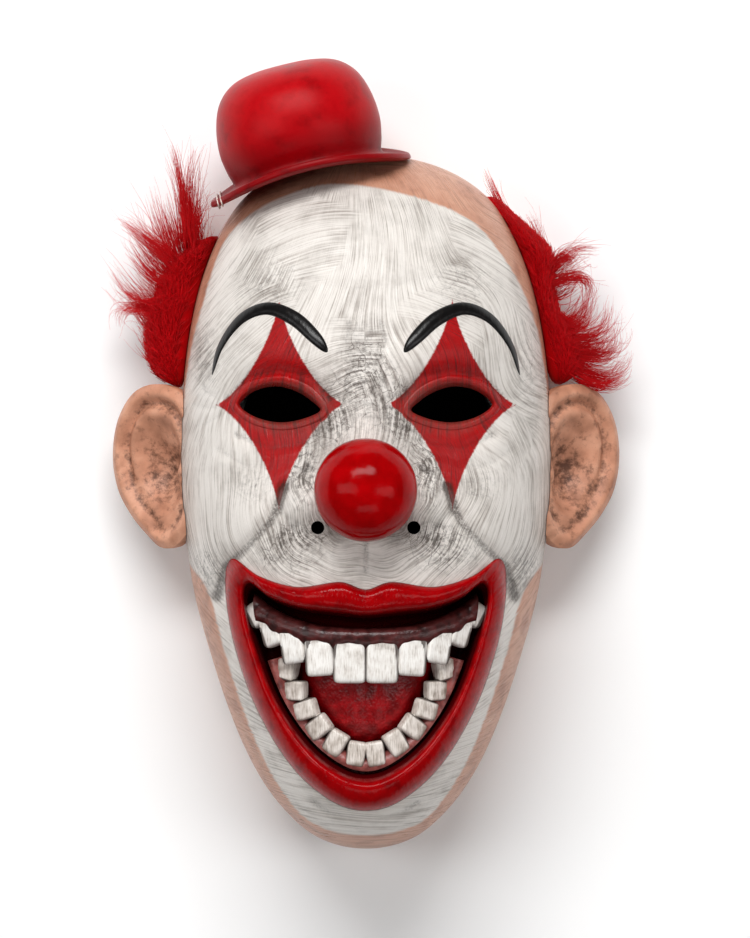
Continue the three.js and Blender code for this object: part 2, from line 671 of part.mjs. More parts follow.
function hat(cutter) {
  const foot = HAT_OUTSIDE.at(-1).radius * CROWN_RADIUS;
  const outside = HAT_OUTSIDE.map((row) => [row.radius * CROWN_RADIUS, row.up * CROWN_HEIGHT]);
  const brim = HAT_BRIM.map((row) => [mix(foot, BRIM_RADIUS, row.out), row.up * CROWN_HEIGHT]);
  const shrink = (CROWN_RADIUS - HAT_WALL) / CROWN_RADIUS;
  const inside = outside
    .filter((_, k) => k % 2 === 0 || k === outside.length - 1)
    .map(([radius, up]) => [radius * shrink, up - HAT_WALL])
    .reverse();
  const profile = [...outside, ...brim, ...inside].map(([r, up]) => new THREE.Vector2(r, up));
  const geometry = new THREE.LatheGeometry(profile.reverse(), HAT_SEGMENTS);
  const place = geometry.attributes.position;
  for (let i = 0; i < place.count; i += 1) {
    const side = (place.getX(i) / BRIM_RADIUS) ** 2;
    const front = (place.getZ(i) / BRIM_RADIUS) ** 2;
    const hold = 1 - smoothStep(0.1, 1, place.getY(i) / CROWN_HEIGHT);
    const droop = (BRIM_SIDE_DROOP * side + BRIM_FRONT_DROOP * front) * hold;
    place.setY(i, place.getY(i) - droop);
  }
  const placement = new THREE.Matrix4()
    .makeTranslation(HAT_X, crownAbove(HAT_X) - HAT_SINK, HAT_FRONT)
    .multiply(new THREE.Matrix4().makeRotationZ(HAT_LEAN * DEGREE))
    .multiply(new THREE.Matrix4().makeRotationX(HAT_NOD * DEGREE));
  return placed(meshOf(seated(geometry, placement, cutter), "hat", "red_paint"), placement);
}

// A place on the side wall of the shell at a height, and the way out of the wall there.
function sideWall(side, upShare) {
  const angle = Math.asin(upShare);
  const x = side * HALF_WIDTH * sectionCurve("wide", angle);
  const step = 0.01;
  const next = side * HALF_WIDTH * sectionCurve("wide", Math.asin(upShare + step));
  const along = new THREE.Vector3(next - x, step * HALF_HEIGHT, 0).normalize();
  const out = new THREE.Vector3(side * along.y, -side * along.x, 0);
  return { point: new THREE.Vector3(x, upShare * HALF_HEIGHT, HAIR_FRONT), along, out };
}

function hairPad(side, [low, high]) {
  const steps = 6;
  const stations = Array.from({ length: steps + 1 }, (_, k) => {
    const wall = sideWall(side, mix(low, high, k / steps));
    const taper = Math.sqrt(1 - (Math.abs(k / steps - 0.5) * 1.7) ** 2);
    return {
      centre: wall.point,
      out: wall.out,
      up: new THREE.Vector3(0, 0, 1),
      radius: HAIR_PAD_THICKNESS * taper,
      depth: (HAIR_PAD_DEPTH / 2) * taper,
    };
  });
  return solidOf(tube(stations, 8));
}

// One lock: a tapered tube that leaves the pad and bends as it goes.
function hairLock(side, [low, high], lock) {
  const wall = sideWall(side, mix(low, high, lock.along));
  const steps = 3;
  const towards = (degrees) => {
    const angle = degrees * DEGREE;
    return new THREE.Vector3(side * Math.cos(angle), Math.sin(angle), 0);
  };
  const centre = wall.point.clone();
  const stations = [];
  for (let k = 0; k <= steps; k += 1) {
    const share = k / steps;
    const aim = towards(lock.aim + lock.curl * (share - 0.5) * 2);
    const radius = lock.root * HAIR_ROOT * (1 - 0.9 * share ** 1.3);
    const out = new THREE.Vector3(-aim.y, aim.x, 0);
    stations.push({
      centre: centre.clone(),
      out,
      up: new THREE.Vector3(0, 0, 1),
      radius: radius * 0.62,
      depth: radius * 0.9,
    });
    centre.addScaledVector(aim, (lock.reach * HAIR_REACH) / steps);
    centre.z += (lock.front * HAIR_PAD_DEPTH) / steps;
  }
  return solidOf(tube(stations, 6));
}

function hair(side, cutter) {
  const key = side < 0 ? "left" : "right";
  let fur = hairPad(side, HAIR_PAD[key]);
  for (const lock of HAIR_LOCKS[key]) fur = fur.add(hairLock(side, HAIR_PAD[key], lock));
  return meshOf(largest(fur.subtract(cutter)), `hair_${key}`, "red_fur");
}

// Where the teeth of a row stand, from left to right: the middle of each in plan, its turn
// about the way out of the face and its size.
function upperPlaces() {
  const place = (side) => (row) => ({
    x: side * row.side * MOUTH_HALF_WIDTH,
    y: MOUTH_TOP - row.down * MOUTH_HEIGHT,
    turn: -side * row.turn * DEGREE,
    wide: row.wide * MOUTH_HALF_WIDTH,
    tall: row.tall * MOUTH_HEIGHT,
  });
  return [...UPPER_TEETH.map(place(-1)).reverse(), ...UPPER_TEETH.map(place(1))];
}

function lowerPlaces() {
  const place = (side) => (row) => {
    const share = side > 0 ? row.round : 1 - row.round;
    const root = mouthPoint(share, 1);
    const { x, y } = mouthPoint(share, LOWER_TEETH_INSET);
    const turn = Math.atan2(root.x - x, y - root.y);
    return { x, y, turn, wide: row.wide * MOUTH_HALF_WIDTH, tall: row.tall * MOUTH_HEIGHT };
  };
  return [...LOWER_TEETH.map(place(-1)).reverse(), ...LOWER_TEETH.map(place(1))];
}

// A tooth is a sphere pressed towards a block, standing on the curve of the face.
function tooth({ x, y, turn, wide, tall }, sink) {
  const geometry = new THREE.SphereGeometry(1, 8, 4);
  const place = geometry.attributes.position;
  const press = (value) => Math.sign(value) * Math.abs(value) ** TOOTH_SQUARENESS;
  for (let i = 0; i < place.count; i += 1) {
    place.setXYZ(i, press(place.getX(i)), press(place.getY(i)), press(place.getZ(i)));
  }
  const lean = Math.atan((faceHeight(x + 1, y) - faceHeight(x - 1, y)) / 2);
  const placement = new THREE.Matrix4()
    .makeTranslation(x, y, faceHeight(x, y) - sink * MOUTH_DEPTH)
    .multiply(new THREE.Matrix4().makeRotationY(-lean))
    .multiply(new THREE.Matrix4().makeRotationZ(turn))
    .multiply(new THREE.Matrix4().makeScale(wide / 2, tall / 2, TOOTH_THICKNESS / 2));
  return solidOf(geometry.applyMatrix4(placement));
}

// A row of teeth on its gum. rootUp is 1 where the roots are above the teeth and -1 below.
function teeth(name, places, sink, rootUp) {
  const stations = places.map(({ x, y, turn, tall }) => {
    const away = new THREE.Vector3(-Math.sin(turn), Math.cos(turn), 0);
    const rootX = x + (rootUp * away.x * tall) / 2;
    const rootY = y + (rootUp * away.y * tall) / 2;
    return {
      centre: onFace(rootX, rootY, -sink * MOUTH_DEPTH - TOOTH_THICKNESS / 4),
      out: away,
      up: new THREE.Vector3(0, 0, 1),
      radius: GUM_RADIUS,
      depth: GUM_RADIUS,
    };
  });
  let made = solidOf(tube(stations, 6));
  for (const place of places) made = made.add(tooth(place, sink));
  return meshOf(largest(made.intersect(plug(mouthOutline(TEETH_REACH)))), name, "tooth_paint");
}

function tongue(cutter) {
  const spokes = TONGUE_SPOKES;
  const floor = (x, y) => faceHeight(x, y) - MOUTH_DEPTH - WALL / 2;
  const ring = (share, height) =>
    Array.from({ length: spokes }, (_, k) => {
      const { x, y } = mouthPoint(k / spokes, mix(2, TONGUE_EDGE, share));
      return [x, y, floor(x, y) + height(x, share)];
    });
  const top = (x, share) => {
    const groove = TONGUE_GROOVE_DEPTH * Math.exp(-((x / TONGUE_GROOVE_WIDTH) ** 2)) * (1 - share);
    return TONGUE_RISE * Math.sqrt(1 - share ** 3) - groove;
  };
  const shares = [0.25, 0.5, 0.7, 0.85, 0.95];
  const loops = [
    ...shares.map((share) => ring(share, top)),
    ring(1, () => TONGUE_RISE * 0.04),
    ring(0.98, () => 0),
    ring(0.5, () => 0),
  ];
  const middle = (height) => [...MOUTH_MIDDLE, floor(...MOUTH_MIDDLE) + height];
  const solid = solidOf(skin(middle(top(0, 0)), loops, middle(0))).subtract(cutter);
  return meshOf(largest(solid), "tongue", "tongue_paint");
}

const aroundFace = faceSolid(SEAT_GAP, -WALL);
const aroundMouth = mouthSolid(SEAT_GAP);
const mask = new THREE.Group();
mask.add(maskShell());
mask.add(noseBall(aroundFace));
mask.add(hat(aroundFace));
mask.add(tongue(aroundMouth));
for (const side of [-1, 1]) {
  mask.add(ear(side, aroundFace));
  mask.add(hair(side, aroundFace));
}
mask.add(teeth("upper_teeth", upperPlaces(), UPPER_TEETH_SINK, 1));
mask.add(teeth("lower_teeth", lowerPlaces(), LOWER_TEETH_SINK, -1));

export default mask;
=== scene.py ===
# %% [markdown]
# # A hard plastic clown mask
#
# The mask is a stiff moulded half shell that lies on its rim with the face up. It carries a small
# bowler, two ears, a ball nose, tufts of red fur and a mouth with teeth and a tongue. This lesson
# builds each piece as a surface worked out with numpy, in the same millimetres as the imported CAD
# model, and then paints it as a mask painter would: flesh first, white over it, red on top and
# a thin dark wash in the hollows, with painted shade darkening them further.

import bpy
import numpy as np
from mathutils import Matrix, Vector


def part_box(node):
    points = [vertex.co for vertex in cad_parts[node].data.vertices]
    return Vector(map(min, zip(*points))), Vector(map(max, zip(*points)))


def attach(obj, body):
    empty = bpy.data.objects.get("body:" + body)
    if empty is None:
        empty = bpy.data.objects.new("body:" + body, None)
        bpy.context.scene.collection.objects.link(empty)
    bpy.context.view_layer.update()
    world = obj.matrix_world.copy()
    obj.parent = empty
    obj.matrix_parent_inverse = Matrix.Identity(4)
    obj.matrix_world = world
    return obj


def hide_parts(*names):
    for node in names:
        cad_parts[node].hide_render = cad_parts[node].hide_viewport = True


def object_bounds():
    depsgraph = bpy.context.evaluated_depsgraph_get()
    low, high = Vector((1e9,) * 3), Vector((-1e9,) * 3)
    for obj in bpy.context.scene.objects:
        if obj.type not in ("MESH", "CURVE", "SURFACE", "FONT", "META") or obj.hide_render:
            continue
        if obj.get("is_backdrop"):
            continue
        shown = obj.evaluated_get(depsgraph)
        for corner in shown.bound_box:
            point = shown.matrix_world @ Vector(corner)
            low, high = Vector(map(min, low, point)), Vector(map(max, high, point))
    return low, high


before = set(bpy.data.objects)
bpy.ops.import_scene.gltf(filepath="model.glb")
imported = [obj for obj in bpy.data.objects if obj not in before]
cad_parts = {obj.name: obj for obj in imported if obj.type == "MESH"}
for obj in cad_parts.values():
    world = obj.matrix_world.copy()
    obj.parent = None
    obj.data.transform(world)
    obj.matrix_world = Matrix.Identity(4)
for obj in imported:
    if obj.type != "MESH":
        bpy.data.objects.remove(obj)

MM = 0.001
cad_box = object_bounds()
shell_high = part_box("mask_shell")[1]
print("CAD box in metres:", [tuple(round(v, 3) for v in corner) for corner in cad_box])

# %% [markdown]
# ## Camera, floor and light
#
# The photograph looks straight down on the face, from far enough away that nothing bulges. A long
# lens well above the mask gives that. The floor is a plain white sheet. A large soft lamp beyond
# the crown is the main light, because the wet highlights on the hat, the nose and the lips all
# sit on their upper sides, and three weaker lamps open up the shadows.

# %% Camera, floor and lamps
PHOTO_WIDTH = 750
PHOTO_HEIGHT = 938
PIXEL_SIZE = 0.45
MIDDLE_PIXEL = (366, 501.5)
CAMERA_HEIGHT = 2400
SHARP_HEIGHT = 45
SENSOR = 36

view_x = (PHOTO_WIDTH / 2 - MIDDLE_PIXEL[0]) * PIXEL_SIZE
view_y = (MIDDLE_PIXEL[1] - PHOTO_HEIGHT / 2) * PIXEL_SIZE

camera_data = bpy.data.cameras.new("camera")
camera_data.sensor_fit = "HORIZONTAL"
camera_data.sensor_width = SENSOR
camera_data.lens = SENSOR * (CAMERA_HEIGHT - SHARP_HEIGHT) / (PHOTO_WIDTH * PIXEL_SIZE)
camera = bpy.data.objects.new("camera", camera_data)
camera.location = (view_x * MM, view_y * MM, CAMERA_HEIGHT * MM)
bpy.context.scene.collection.objects.link(camera)
bpy.context.scene.camera = camera

AIM_HEIGHT = 0.08
SKY_STRENGTH = 0.1
LAMPS = [
    # name, place in metres, size in metres, power in watts
    ("key", (-0.15, 1.25, 1.5), (1.6, 0.5), 35),
    ("left", (-1.3, 0.1, 1.5), (0.7, 1.5), 9.5),
    ("right", (1.3, -0.1, 1.5), (0.7, 1.5), 8.5),
    ("front", (0.1, -1.3, 1.6), (1.5, 0.6), 5),
]
for name, place, size, power in LAMPS:
    lamp = bpy.data.lights.new(name, "AREA")
    lamp.shape = "RECTANGLE"
    lamp.size, lamp.size_y = size
    lamp.energy = power
    holder = bpy.data.objects.new(name, lamp)
    holder.location = place
    aim = holder.location.copy()
    aim.z -= AIM_HEIGHT
    holder.rotation_euler = aim.to_track_quat("Z", "Y").to_euler()
    bpy.context.scene.collection.objects.link(holder)

world = bpy.data.worlds.new("studio")
world.use_nodes = True
world.node_tree.nodes["Background"].inputs["Color"].default_value = (1, 1, 1, 1)
world.node_tree.nodes["Background"].inputs["Strength"].default_value = SKY_STRENGTH
bpy.context.scene.world = world
bpy.context.scene.view_settings.view_transform = "Standard"
print("lens", round(camera_data.lens, 1), "mm,", len(LAMPS), "lamps")

# %% [markdown]
# ## Colours and nodes
#
# Paint colours are noted as sRGB hex values, as a colour picker gives them, but a renderer adds up
# light, so one function turns them to linear values. Another small function adds a node, sets its
# options and fills or links its inputs, so that a material reads from top to bottom like a recipe.

# %% Colours, nodes and materials
def linear(code):
    """Linear colour of an sRGB hex code: a share under 0.04045 is divided by 12.92, and
    any other becomes ((share + 0.055) / 1.055) to the power 2.4."""
    share = np.array([int(code[i:i + 2], 16) for i in (1, 3, 5)]) / 255
    light = np.where(share <= 0.04045, share / 12.92, ((share + 0.055) / 1.055) ** 2.4)
    return (*light.tolist(), 1.0)


def add(tree, kind, inputs=None, stops=None, **settings):
    """Add a node. inputs maps a socket to a value or to another node's output, and stops
    lists the (place, hex colour) pairs of a colour ramp."""
    made = tree.nodes.new("ShaderNode" + kind)
    for name, value in settings.items():
        setattr(made, name, value)
    for name, value in (inputs or {}).items():
        if isinstance(value, bpy.types.NodeSocket):
            tree.links.new(value, made.inputs[name])
        else:
            made.inputs[name].default_value = value
    if stops:
        marks = made.color_ramp.elements
        marks.remove(marks[1])
        marks[0].position = stops[0][0]
        marks[0].color = linear(stops[0][1])
        for place, code in stops[1:]:
            marks.new(place).color = linear(code)
    return made


def start_material(name, **sockets):
    """A new material with one glossy shader whose fixed sockets are set by name."""
    made = bpy.data.materials.new(name)
    made.use_nodes = True
    shader = made.node_tree.nodes["Principled BSDF"]
    for socket, value in sockets.items():
        shader.inputs[socket.replace("_", " ")].default_value = value
    return made, made.node_tree, shader


# The floor is a sheet of matt studio paper. Pressed pulp scatters light evenly, without a gleam.
floor_material, tree, shader = start_material("matt_paper", Roughness=0.9)
shader.inputs["Base Color"].default_value = linear("#ffffff")
print("middle grey, #808080, reflects", round(linear("#808080")[0], 3), "of the light")

# %% [markdown]
# ## Meshes from grids
#
# Nearly every piece is a stack of closed loops: a tube, a ball, a bowl and a lip all are. One
# function joins each loop to the next, closes both ends with a fan and checks by the signed
# volume that the faces point outwards. Holes are cut afterwards with a boolean, because a hole's
# edge then follows its own outline and not the grid.

# %% Closed surfaces on grids
def walls(row, next_row, columns):
    """Four-sided faces between each row of corners and its next one, all the way round."""
    here = np.arange(columns)
    after = (here + 1) % columns
    row, next_row = row[:, None] * columns, next_row[:, None] * columns
    return np.stack(np.broadcast_arrays(
        row + here, next_row + here, next_row + after, row + after,
    ), axis=-1).reshape(-1, 4)


def facing_out(points, quads, fans):
    """The faces as lists, turned round if their signed volume is negative. It is the sum over
    their triangles of a . (b x c) / 6."""
    triangles = np.concatenate([quads[:, [0, 1, 2]], quads[:, [0, 2, 3]], fans])
    a, b, c = (points[triangles[:, i]] for i in range(3))
    if np.einsum("ij,ij->", a, np.cross(b, c)) < 0:
        quads, fans = quads[:, ::-1], fans[:, ::-1]
    return quads.tolist() + fans.tolist()


def skin(loops):
    """Corners and faces of the closed surface through loops, an array of rows, columns and
    three coordinates. A fan of triangles closes each end."""
    rows, columns, _ = loops.shape
    points = np.concatenate([loops.reshape(-1, 3), [loops[0].mean(0), loops[-1].mean(0)]])
    row = np.arange(rows - 1)
    here = np.arange(columns)
    after = (here + 1) % columns
    first, last = rows * columns, rows * columns + 1
    bottom = (rows - 1) * columns
    fans = np.concatenate([
        np.stack([np.full(columns, first), here, after], axis=-1),
        np.stack([np.full(columns, last), bottom + after, bottom + here], axis=-1),
    ])
    return points, facing_out(points, walls(row, row + 1, columns), fans)


def ring(loops):
    """Corners and faces of a surface that closes on itself both ways, like a tyre."""
    rows, columns, _ = loops.shape
    points = loops.reshape(-1, 3)
    row = np.arange(rows)
    quads = walls(row, (row + 1) % rows, columns)
    return points, facing_out(points, quads, np.empty((0, 3), int))


square = np.array([(0, 0), (1, 0), (1, 1), (0, 1)])
levels = [np.insert(square, 2, height, axis=1) for height in (0, 1)]
print("a cube through two square loops has", len(skin(np.stack(levels))[1]), "faces with its fans")

# %% Objects and cuts
def make_object(name, shape, smooth_angle=40):
    """A mesh object from corners in millimetres and their faces, smooth up to an angle."""
    points, faces = shape
    mesh = bpy.data.meshes.new(name)
    mesh.from_pydata((points * MM).tolist(), [], faces)
    mesh.shade_smooth()
    mesh.set_sharp_from_angle(angle=np.radians(smooth_angle))
    made = bpy.data.objects.new(name, mesh)
    bpy.context.scene.collection.objects.link(made)
    return made


def cut(target, tools, operation="DIFFERENCE", smooth_angle=40):
    """Take each tool's space away from the target, or keep only what they share."""
    for tool in tools:
        change = target.modifiers.new("cut", "BOOLEAN")
        change.operation = operation
        change.object = tool
        change.solver = "MANIFOLD"
    bpy.context.view_layer.update()
    graph = bpy.context.evaluated_depsgraph_get()
    mesh = bpy.data.meshes.new_from_object(target.evaluated_get(graph))
    target.modifiers.clear()
    target.data = mesh
    mesh.shade_smooth()
    mesh.set_sharp_from_angle(angle=np.radians(smooth_angle))
    return target


FLOOR_SIZE = 6000
FLOOR_DROP = 0.5
corner_x = np.array([-1, 1, 1, -1]) * FLOOR_SIZE / 2
corner_y = np.array([-1, -1, 1, 1]) * FLOOR_SIZE / 2
floor_points = np.stack([corner_x, corner_y, np.full(4, -FLOOR_DROP)], axis=-1)
floor = make_object("floor", (floor_points, [[0, 1, 2, 3]]))
floor.data.materials.append(floor_material)
floor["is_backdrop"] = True
print("the floor is", FLOOR_SIZE / 1000, "m square,", FLOOR_DROP, "mm under the rim")

# %% Notes for the paint, and a piece's place in the part
def corners(piece):
    """Places of a piece's corners in millimetres, as three arrays."""
    places = np.empty(len(piece.data.vertices) * 3)
    piece.data.vertices.foreach_get("co", places)
    return (places.reshape(-1, 3) / MM).T


def note(piece, name, values):
    """Store a number, or a vector, for each corner, so that the paint can read it."""
    kind, key = ("FLOAT_VECTOR", "vector") if np.ndim(values) == 2 else ("FLOAT", "value")
    layer = piece.data.attributes.new(name, kind, "POINT")
    layer.data.foreach_set(key, np.ascontiguousarray(values, dtype=np.float32).ravel())


def dress(piece, slot, *materials, replaces=()):
    """Give a piece its paints and its place in the part, and say how big it is."""
    piece.data.materials.clear()
    for paint in materials:
        piece.data.materials.append(paint)
    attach(piece, "root")
    if replaces:
        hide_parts(*replaces)
    triangles = sum(len(face.vertices) - 2 for face in piece.data.polygons)
    print(piece.name, triangles, "triangles")
    return piece


print("the floor's corners lie at x", corners(floor)[0], "mm")

# %% [markdown]
# ## The face as a height over its rim
#
# A moulded mask has no undercuts, because it has to leave its mould. So its front is a height for
# each place in plan: a dome whose width and depth come from a few sections, with soft swellings
# for brow, cheek, nose and chin, and with narrow creases where skin folds. Everything that sits
# on the face asks the same function for its height, so nothing floats or sinks.

# %% Sections of the face
HALF_HEIGHT = shell_high.y / MM
HALF_WIDTH = 83.5
RIM_DEPTH = 30
FACE_DEPTH = 86
WALL = 2.2
SECTION_SQUARENESS = 2.2
NOSE_UP = 5.5

SECTIONS = np.array([
    # share of the half height, share of the half width, share of the face depth
    (-1.0, 0, 0),
    (-0.97, 0.25, 0.37),
    (-0.91, 0.4, 0.65),
    (-0.8, 0.565, 0.87),
    (-0.65, 0.705, 0.965),
    (-0.45, 0.835, 1.0),
    (-0.25, 0.935, 0.975),
    (0.0, 0.995, 0.955),
    (0.2, 1.0, 0.95),
    (0.4, 0.977, 0.955),
    (0.6, 0.91, 0.885),
    (0.76, 0.8, 0.76),
    (0.88, 0.65, 0.585),
    (0.96, 0.41, 0.345),
    (1.0, 0, 0),
])
print("the face is", round(2 * HALF_HEIGHT), "mm tall in", len(SECTIONS), "sections")

# %% Smooth curves
def through(knots, values, place):
    """A smooth curve through values at knots. Between two knots the value eases from one to
    the other, and at a knot it has the slope of the line that joins the knots beside it."""
    knots = np.asarray(knots, float)
    values = np.asarray(values, float)
    order = np.arange(len(knots))
    before = np.maximum(order - 1, 0)
    after = np.minimum(order + 1, len(knots) - 1)
    slopes = ((values[after] - values[before]).T / (knots[after] - knots[before])).T
    i = np.clip(np.searchsorted(knots, place, side="right") - 1, 0, len(knots) - 2)
    span = knots[i + 1] - knots[i]
    s = np.clip((place - knots[i]) / span, 0, 1)
    if values.ndim > 1:
        s, span = s[..., None], span[..., None]
    bend = span * (slopes[i] * s * (1 - s) ** 2 + slopes[i + 1] * s * s * (s - 1))
    return values[i] + (values[i + 1] - values[i]) * s * s * (3 - 2 * s) + bend


def round_trip(points, share):
    """The same kind of curve, closed, for a share of the way round a list of points."""
    points = np.asarray(points, float)
    count = len(points)
    wrapped = points[np.arange(-2, count + 3) % count]
    return through(np.arange(-2, count + 3) / count, wrapped, np.asarray(share) % 1)


def ease(low, high, value):
    """0 below low, 1 above high and a smooth step between them."""
    share = np.clip((value - low) / (high - low), 0, 1)
    return share * share * (3 - 2 * share)


print("a third of the way, the ease has reached", round(float(ease(0, 3, 1)), 3))

# %% The dome
SECTION_ANGLES = np.arcsin(SECTIONS[:, 0])


def dome(x, y, grow=0):
    """Depth(y) times (1 - |x / halfwidth(y)| to the squareness) to the power one half."""
    angle = np.arcsin(np.clip(y / (HALF_HEIGHT + grow), -1, 1))
    shares = through(SECTION_ANGLES, SECTIONS[:, 1:], angle)
    half_width = np.maximum((HALF_WIDTH + grow) * shares[..., 0], 1e-6)
    across = np.clip(np.abs(x) / half_width, 0, 1)
    bow = np.sqrt(np.maximum(1 - across ** SECTION_SQUARENESS, 0))
    return (FACE_DEPTH + grow) * shares[..., 1] * bow


def to_path(x, y, path):
    """Distance from each place to the nearest point of a line through path."""
    nearest = np.full(np.shape(x), np.inf)
    for (ax, ay), (bx, by) in zip(path[:-1], path[1:]):
        run = (bx - ax) ** 2 + (by - ay) ** 2
        s = np.clip(((x - ax) * (bx - ax) + (y - ay) * (by - ay)) / run, 0, 1)
        nearest = np.minimum(nearest, np.hypot(x - ax - s * (bx - ax), y - ay - s * (by - ay)))
    return nearest


print("the dome is", round(float(dome(0, 0)), 1), "mm deep in its middle")

# %% [markdown]
# ## Swellings and creases of the face
#
# A sculptor first lays lumps of clay on the form and then presses lines into it. A sculpt mode
# brush could do that by hand, but a list of bells keeps every lump named and easy to change. A
# swelling is a bell over a place. A crease is a bell over the distance from a line.

# %% Swellings and creases
SWELLINGS = [
    # name, side, up, reach across, reach along, rise as a share of the depth
    ("brow ridge", 0.42, 0.405, 0.3, 0.075, 0.035),
    ("eye socket", 0.46, 0.275, 0.25, 0.105, -0.1),
    ("nose bridge", 0, 0.19, 0.13, 0.17, 0.085),
    ("nose base", 0, 0.03, 0.27, 0.115, 0.08),
    ("nose wing", 0.31, -0.005, 0.12, 0.065, 0.075),
    ("cheek", 0.62, -0.06, 0.27, 0.14, 0.1),
    ("upper lip", 0, -0.19, 0.55, 0.09, 0.035),
    ("chin", 0, -0.9, 0.24, 0.07, 0.05),
]
SMILE_FOLD = [(0.43, 0.035), (0.5, -0.055), (0.62, -0.125), (0.745, -0.185), (0.79, -0.265)]
CREASES = [
    # name, reach in mm, rise in mm, points as shares of the half width and half height
    ("smile fold", 3.4, -2.75, SMILE_FOLD),
    ("nose wing edge", 2.0, -1.2, [(0.3, 0.095), (0.39, 0.075), (0.44, 0.03), (0.44, -0.03),
                                   (0.38, -0.07)]),
    ("upper lid fold", 2.0, -1.1, [(0.19, 0.29), (0.28, 0.352), (0.45, 0.372), (0.62, 0.352),
                                   (0.74, 0.29)]),
    ("eye bag", 2.6, -1.1, [(0.21, 0.21), (0.33, 0.165), (0.5, 0.15), (0.68, 0.19)]),
    ("cheek line", 2.2, -0.7, [(0.34, 0.12), (0.48, 0.095), (0.64, 0.105), (0.78, 0.15)]),
    ("crow's foot", 1.5, -0.7, [(0.79, 0.29), (0.85, 0.315), (0.92, 0.36)]),
    ("crow's foot", 1.5, -0.7, [(0.8, 0.265), (0.87, 0.268), (0.94, 0.285)]),
    ("crow's foot", 1.5, -0.6, [(0.79, 0.24), (0.86, 0.22), (0.92, 0.215)]),
    ("frown line", 1.9, -0.9, [(0.1, 0.33), (0.075, 0.39), (0.1, 0.45), (0.085, 0.5)]),
    ("nose bridge line", 1.6, -0.6, [(0.0, 0.285), (0.06, 0.3), (0.12, 0.285)]),
    ("forehead line", 2.6, -0.5, [(0, 0.6), (0.14, 0.604), (0.3, 0.625), (0.46, 0.64),
                                  (0.6, 0.622)]),
    ("forehead line", 2.8, -0.5, [(0, 0.69), (0.16, 0.696), (0.32, 0.715), (0.46, 0.722),
                                  (0.58, 0.7)]),
    ("philtrum", 2.2, -1.1, [(0, -0.09), (0, -0.19)]),
    ("chin fold", 2.4, -1.0, [(0, -0.888), (0.1, -0.886), (0.2, -0.87), (0.27, -0.845)]),
    ("jaw line", 2.8, -0.9, [(0.88, -0.25), (0.86, -0.36), (0.79, -0.5), (0.67, -0.64),
                             (0.56, -0.74)]),
]


def relief(x, y, fine=True):
    """The sum of the swellings, each a bell over the plan, and of the creases, each a bell
    over the distance from its line. It fades out towards the rim. A side row has a twin."""
    rise = np.zeros(np.shape(x))
    for _, side, up, across, along, share in SWELLINGS:
        for place in ([0] if side == 0 else [side, -side]):
            spread = ((x / HALF_WIDTH - place) / across) ** 2
            rise += share * FACE_DEPTH * np.exp(-spread - ((y / HALF_HEIGHT - up) / along) ** 2)
    for _, reach, depth, points in CREASES if fine else CREASES[:1]:
        path = [(side * HALF_WIDTH, up * HALF_HEIGHT) for side, up in points]
        rise += depth * np.exp(-(to_path(np.abs(x), y, path) / reach) ** 2)
    return rise * ease(0.12, 0.5, dome(x, y) / FACE_DEPTH)


def face(x, y, grow=0, fine=True):
    """Height of the face over the rim's plane: the rim's band, the dome and the relief."""
    return RIM_DEPTH + dome(x, y, grow) + relief(x, y, fine)


print("face height at the nose", round(float(face(np.array(0.0), np.array(NOSE_UP))), 1), "mm")

# %% [markdown]
# ## The shell
#
# The real shell is injection moulded, and the mould's two halves leave straight openings for the
# eyes, the mouth and the nostrils. So each opening is an outline in plan. The eyes are almonds
# through eight points. The mouth has two outlines, the outer and the inner edge of the lips, and
# a place on the lips is a share of the way round and a share of the way across.

# %% Eyes and nostrils
EYE_SPACING = 76
EYE_UP = 43
EYE_WIDTH = 38
EYE_HEIGHT = 19
EYE_LOOP = [
    # share of the half width from inner to outer corner, share of the half height
    (-1.0, -0.25),
    (-0.62, 0.55),
    (0.0, 1.0),
    (0.62, 0.78),
    (1.0, 0.05),
    (0.62, -0.62),
    (0.0, -0.92),
    (-0.62, -0.72),
]
NOSTRIL_RADIUS = 2.9
NOSTRIL_SPACING = 42
NOSTRIL_UP = -11


def eye_outline(side, share):
    """The almond edge of one eye hole for shares of the way round it."""
    loop = round_trip(EYE_LOOP, share)
    x = side * (EYE_SPACING + loop[..., 0] * EYE_WIDTH) / 2
    return np.stack([x, EYE_UP + loop[..., 1] * EYE_HEIGHT / 2], axis=-1)


print("the right eye's inner corner lies at", eye_outline(1, 0).round(1), "mm")

# %% The mouth's two outlines
MOUTH_HALF_WIDTH = 62
MOUTH_HEIGHT = 102
CHIN_HEIGHT = 21
MOUTH_TOP = CHIN_HEIGHT + MOUTH_HEIGHT - HALF_HEIGHT
MOUTH_LOOP = [
    # outer edge side and down, inner edge side and down, lip height share
    (0.0, 0.037, 0.0, 0.154, 0.85),
    (0.183, 0.005, 0.183, 0.144, 1.0),
    (0.483, 0.027, 0.467, 0.122, 0.95),
    (0.75, -0.016, 0.675, 0.08, 0.8),
    (0.95, -0.09, 0.825, 0.021, 0.6),
    (1.008, 0.021, 0.858, 0.101, 0.65),
    (0.95, 0.277, 0.783, 0.282, 0.85),
    (0.783, 0.564, 0.633, 0.516, 0.95),
    (0.533, 0.809, 0.425, 0.702, 1.0),
    (0.25, 0.957, 0.2, 0.814, 1.05),
    (0.0, 1.0, 0.0, 0.851, 1.1),
]
left_rows = [(-a, b, -c, d, e) for a, b, c, d, e in MOUTH_LOOP[-2:0:-1]]
mouth_rows = np.array(MOUTH_LOOP + left_rows)
MOUTH_MIDDLE = np.array([0, MOUTH_TOP - 0.48 * MOUTH_HEIGHT])


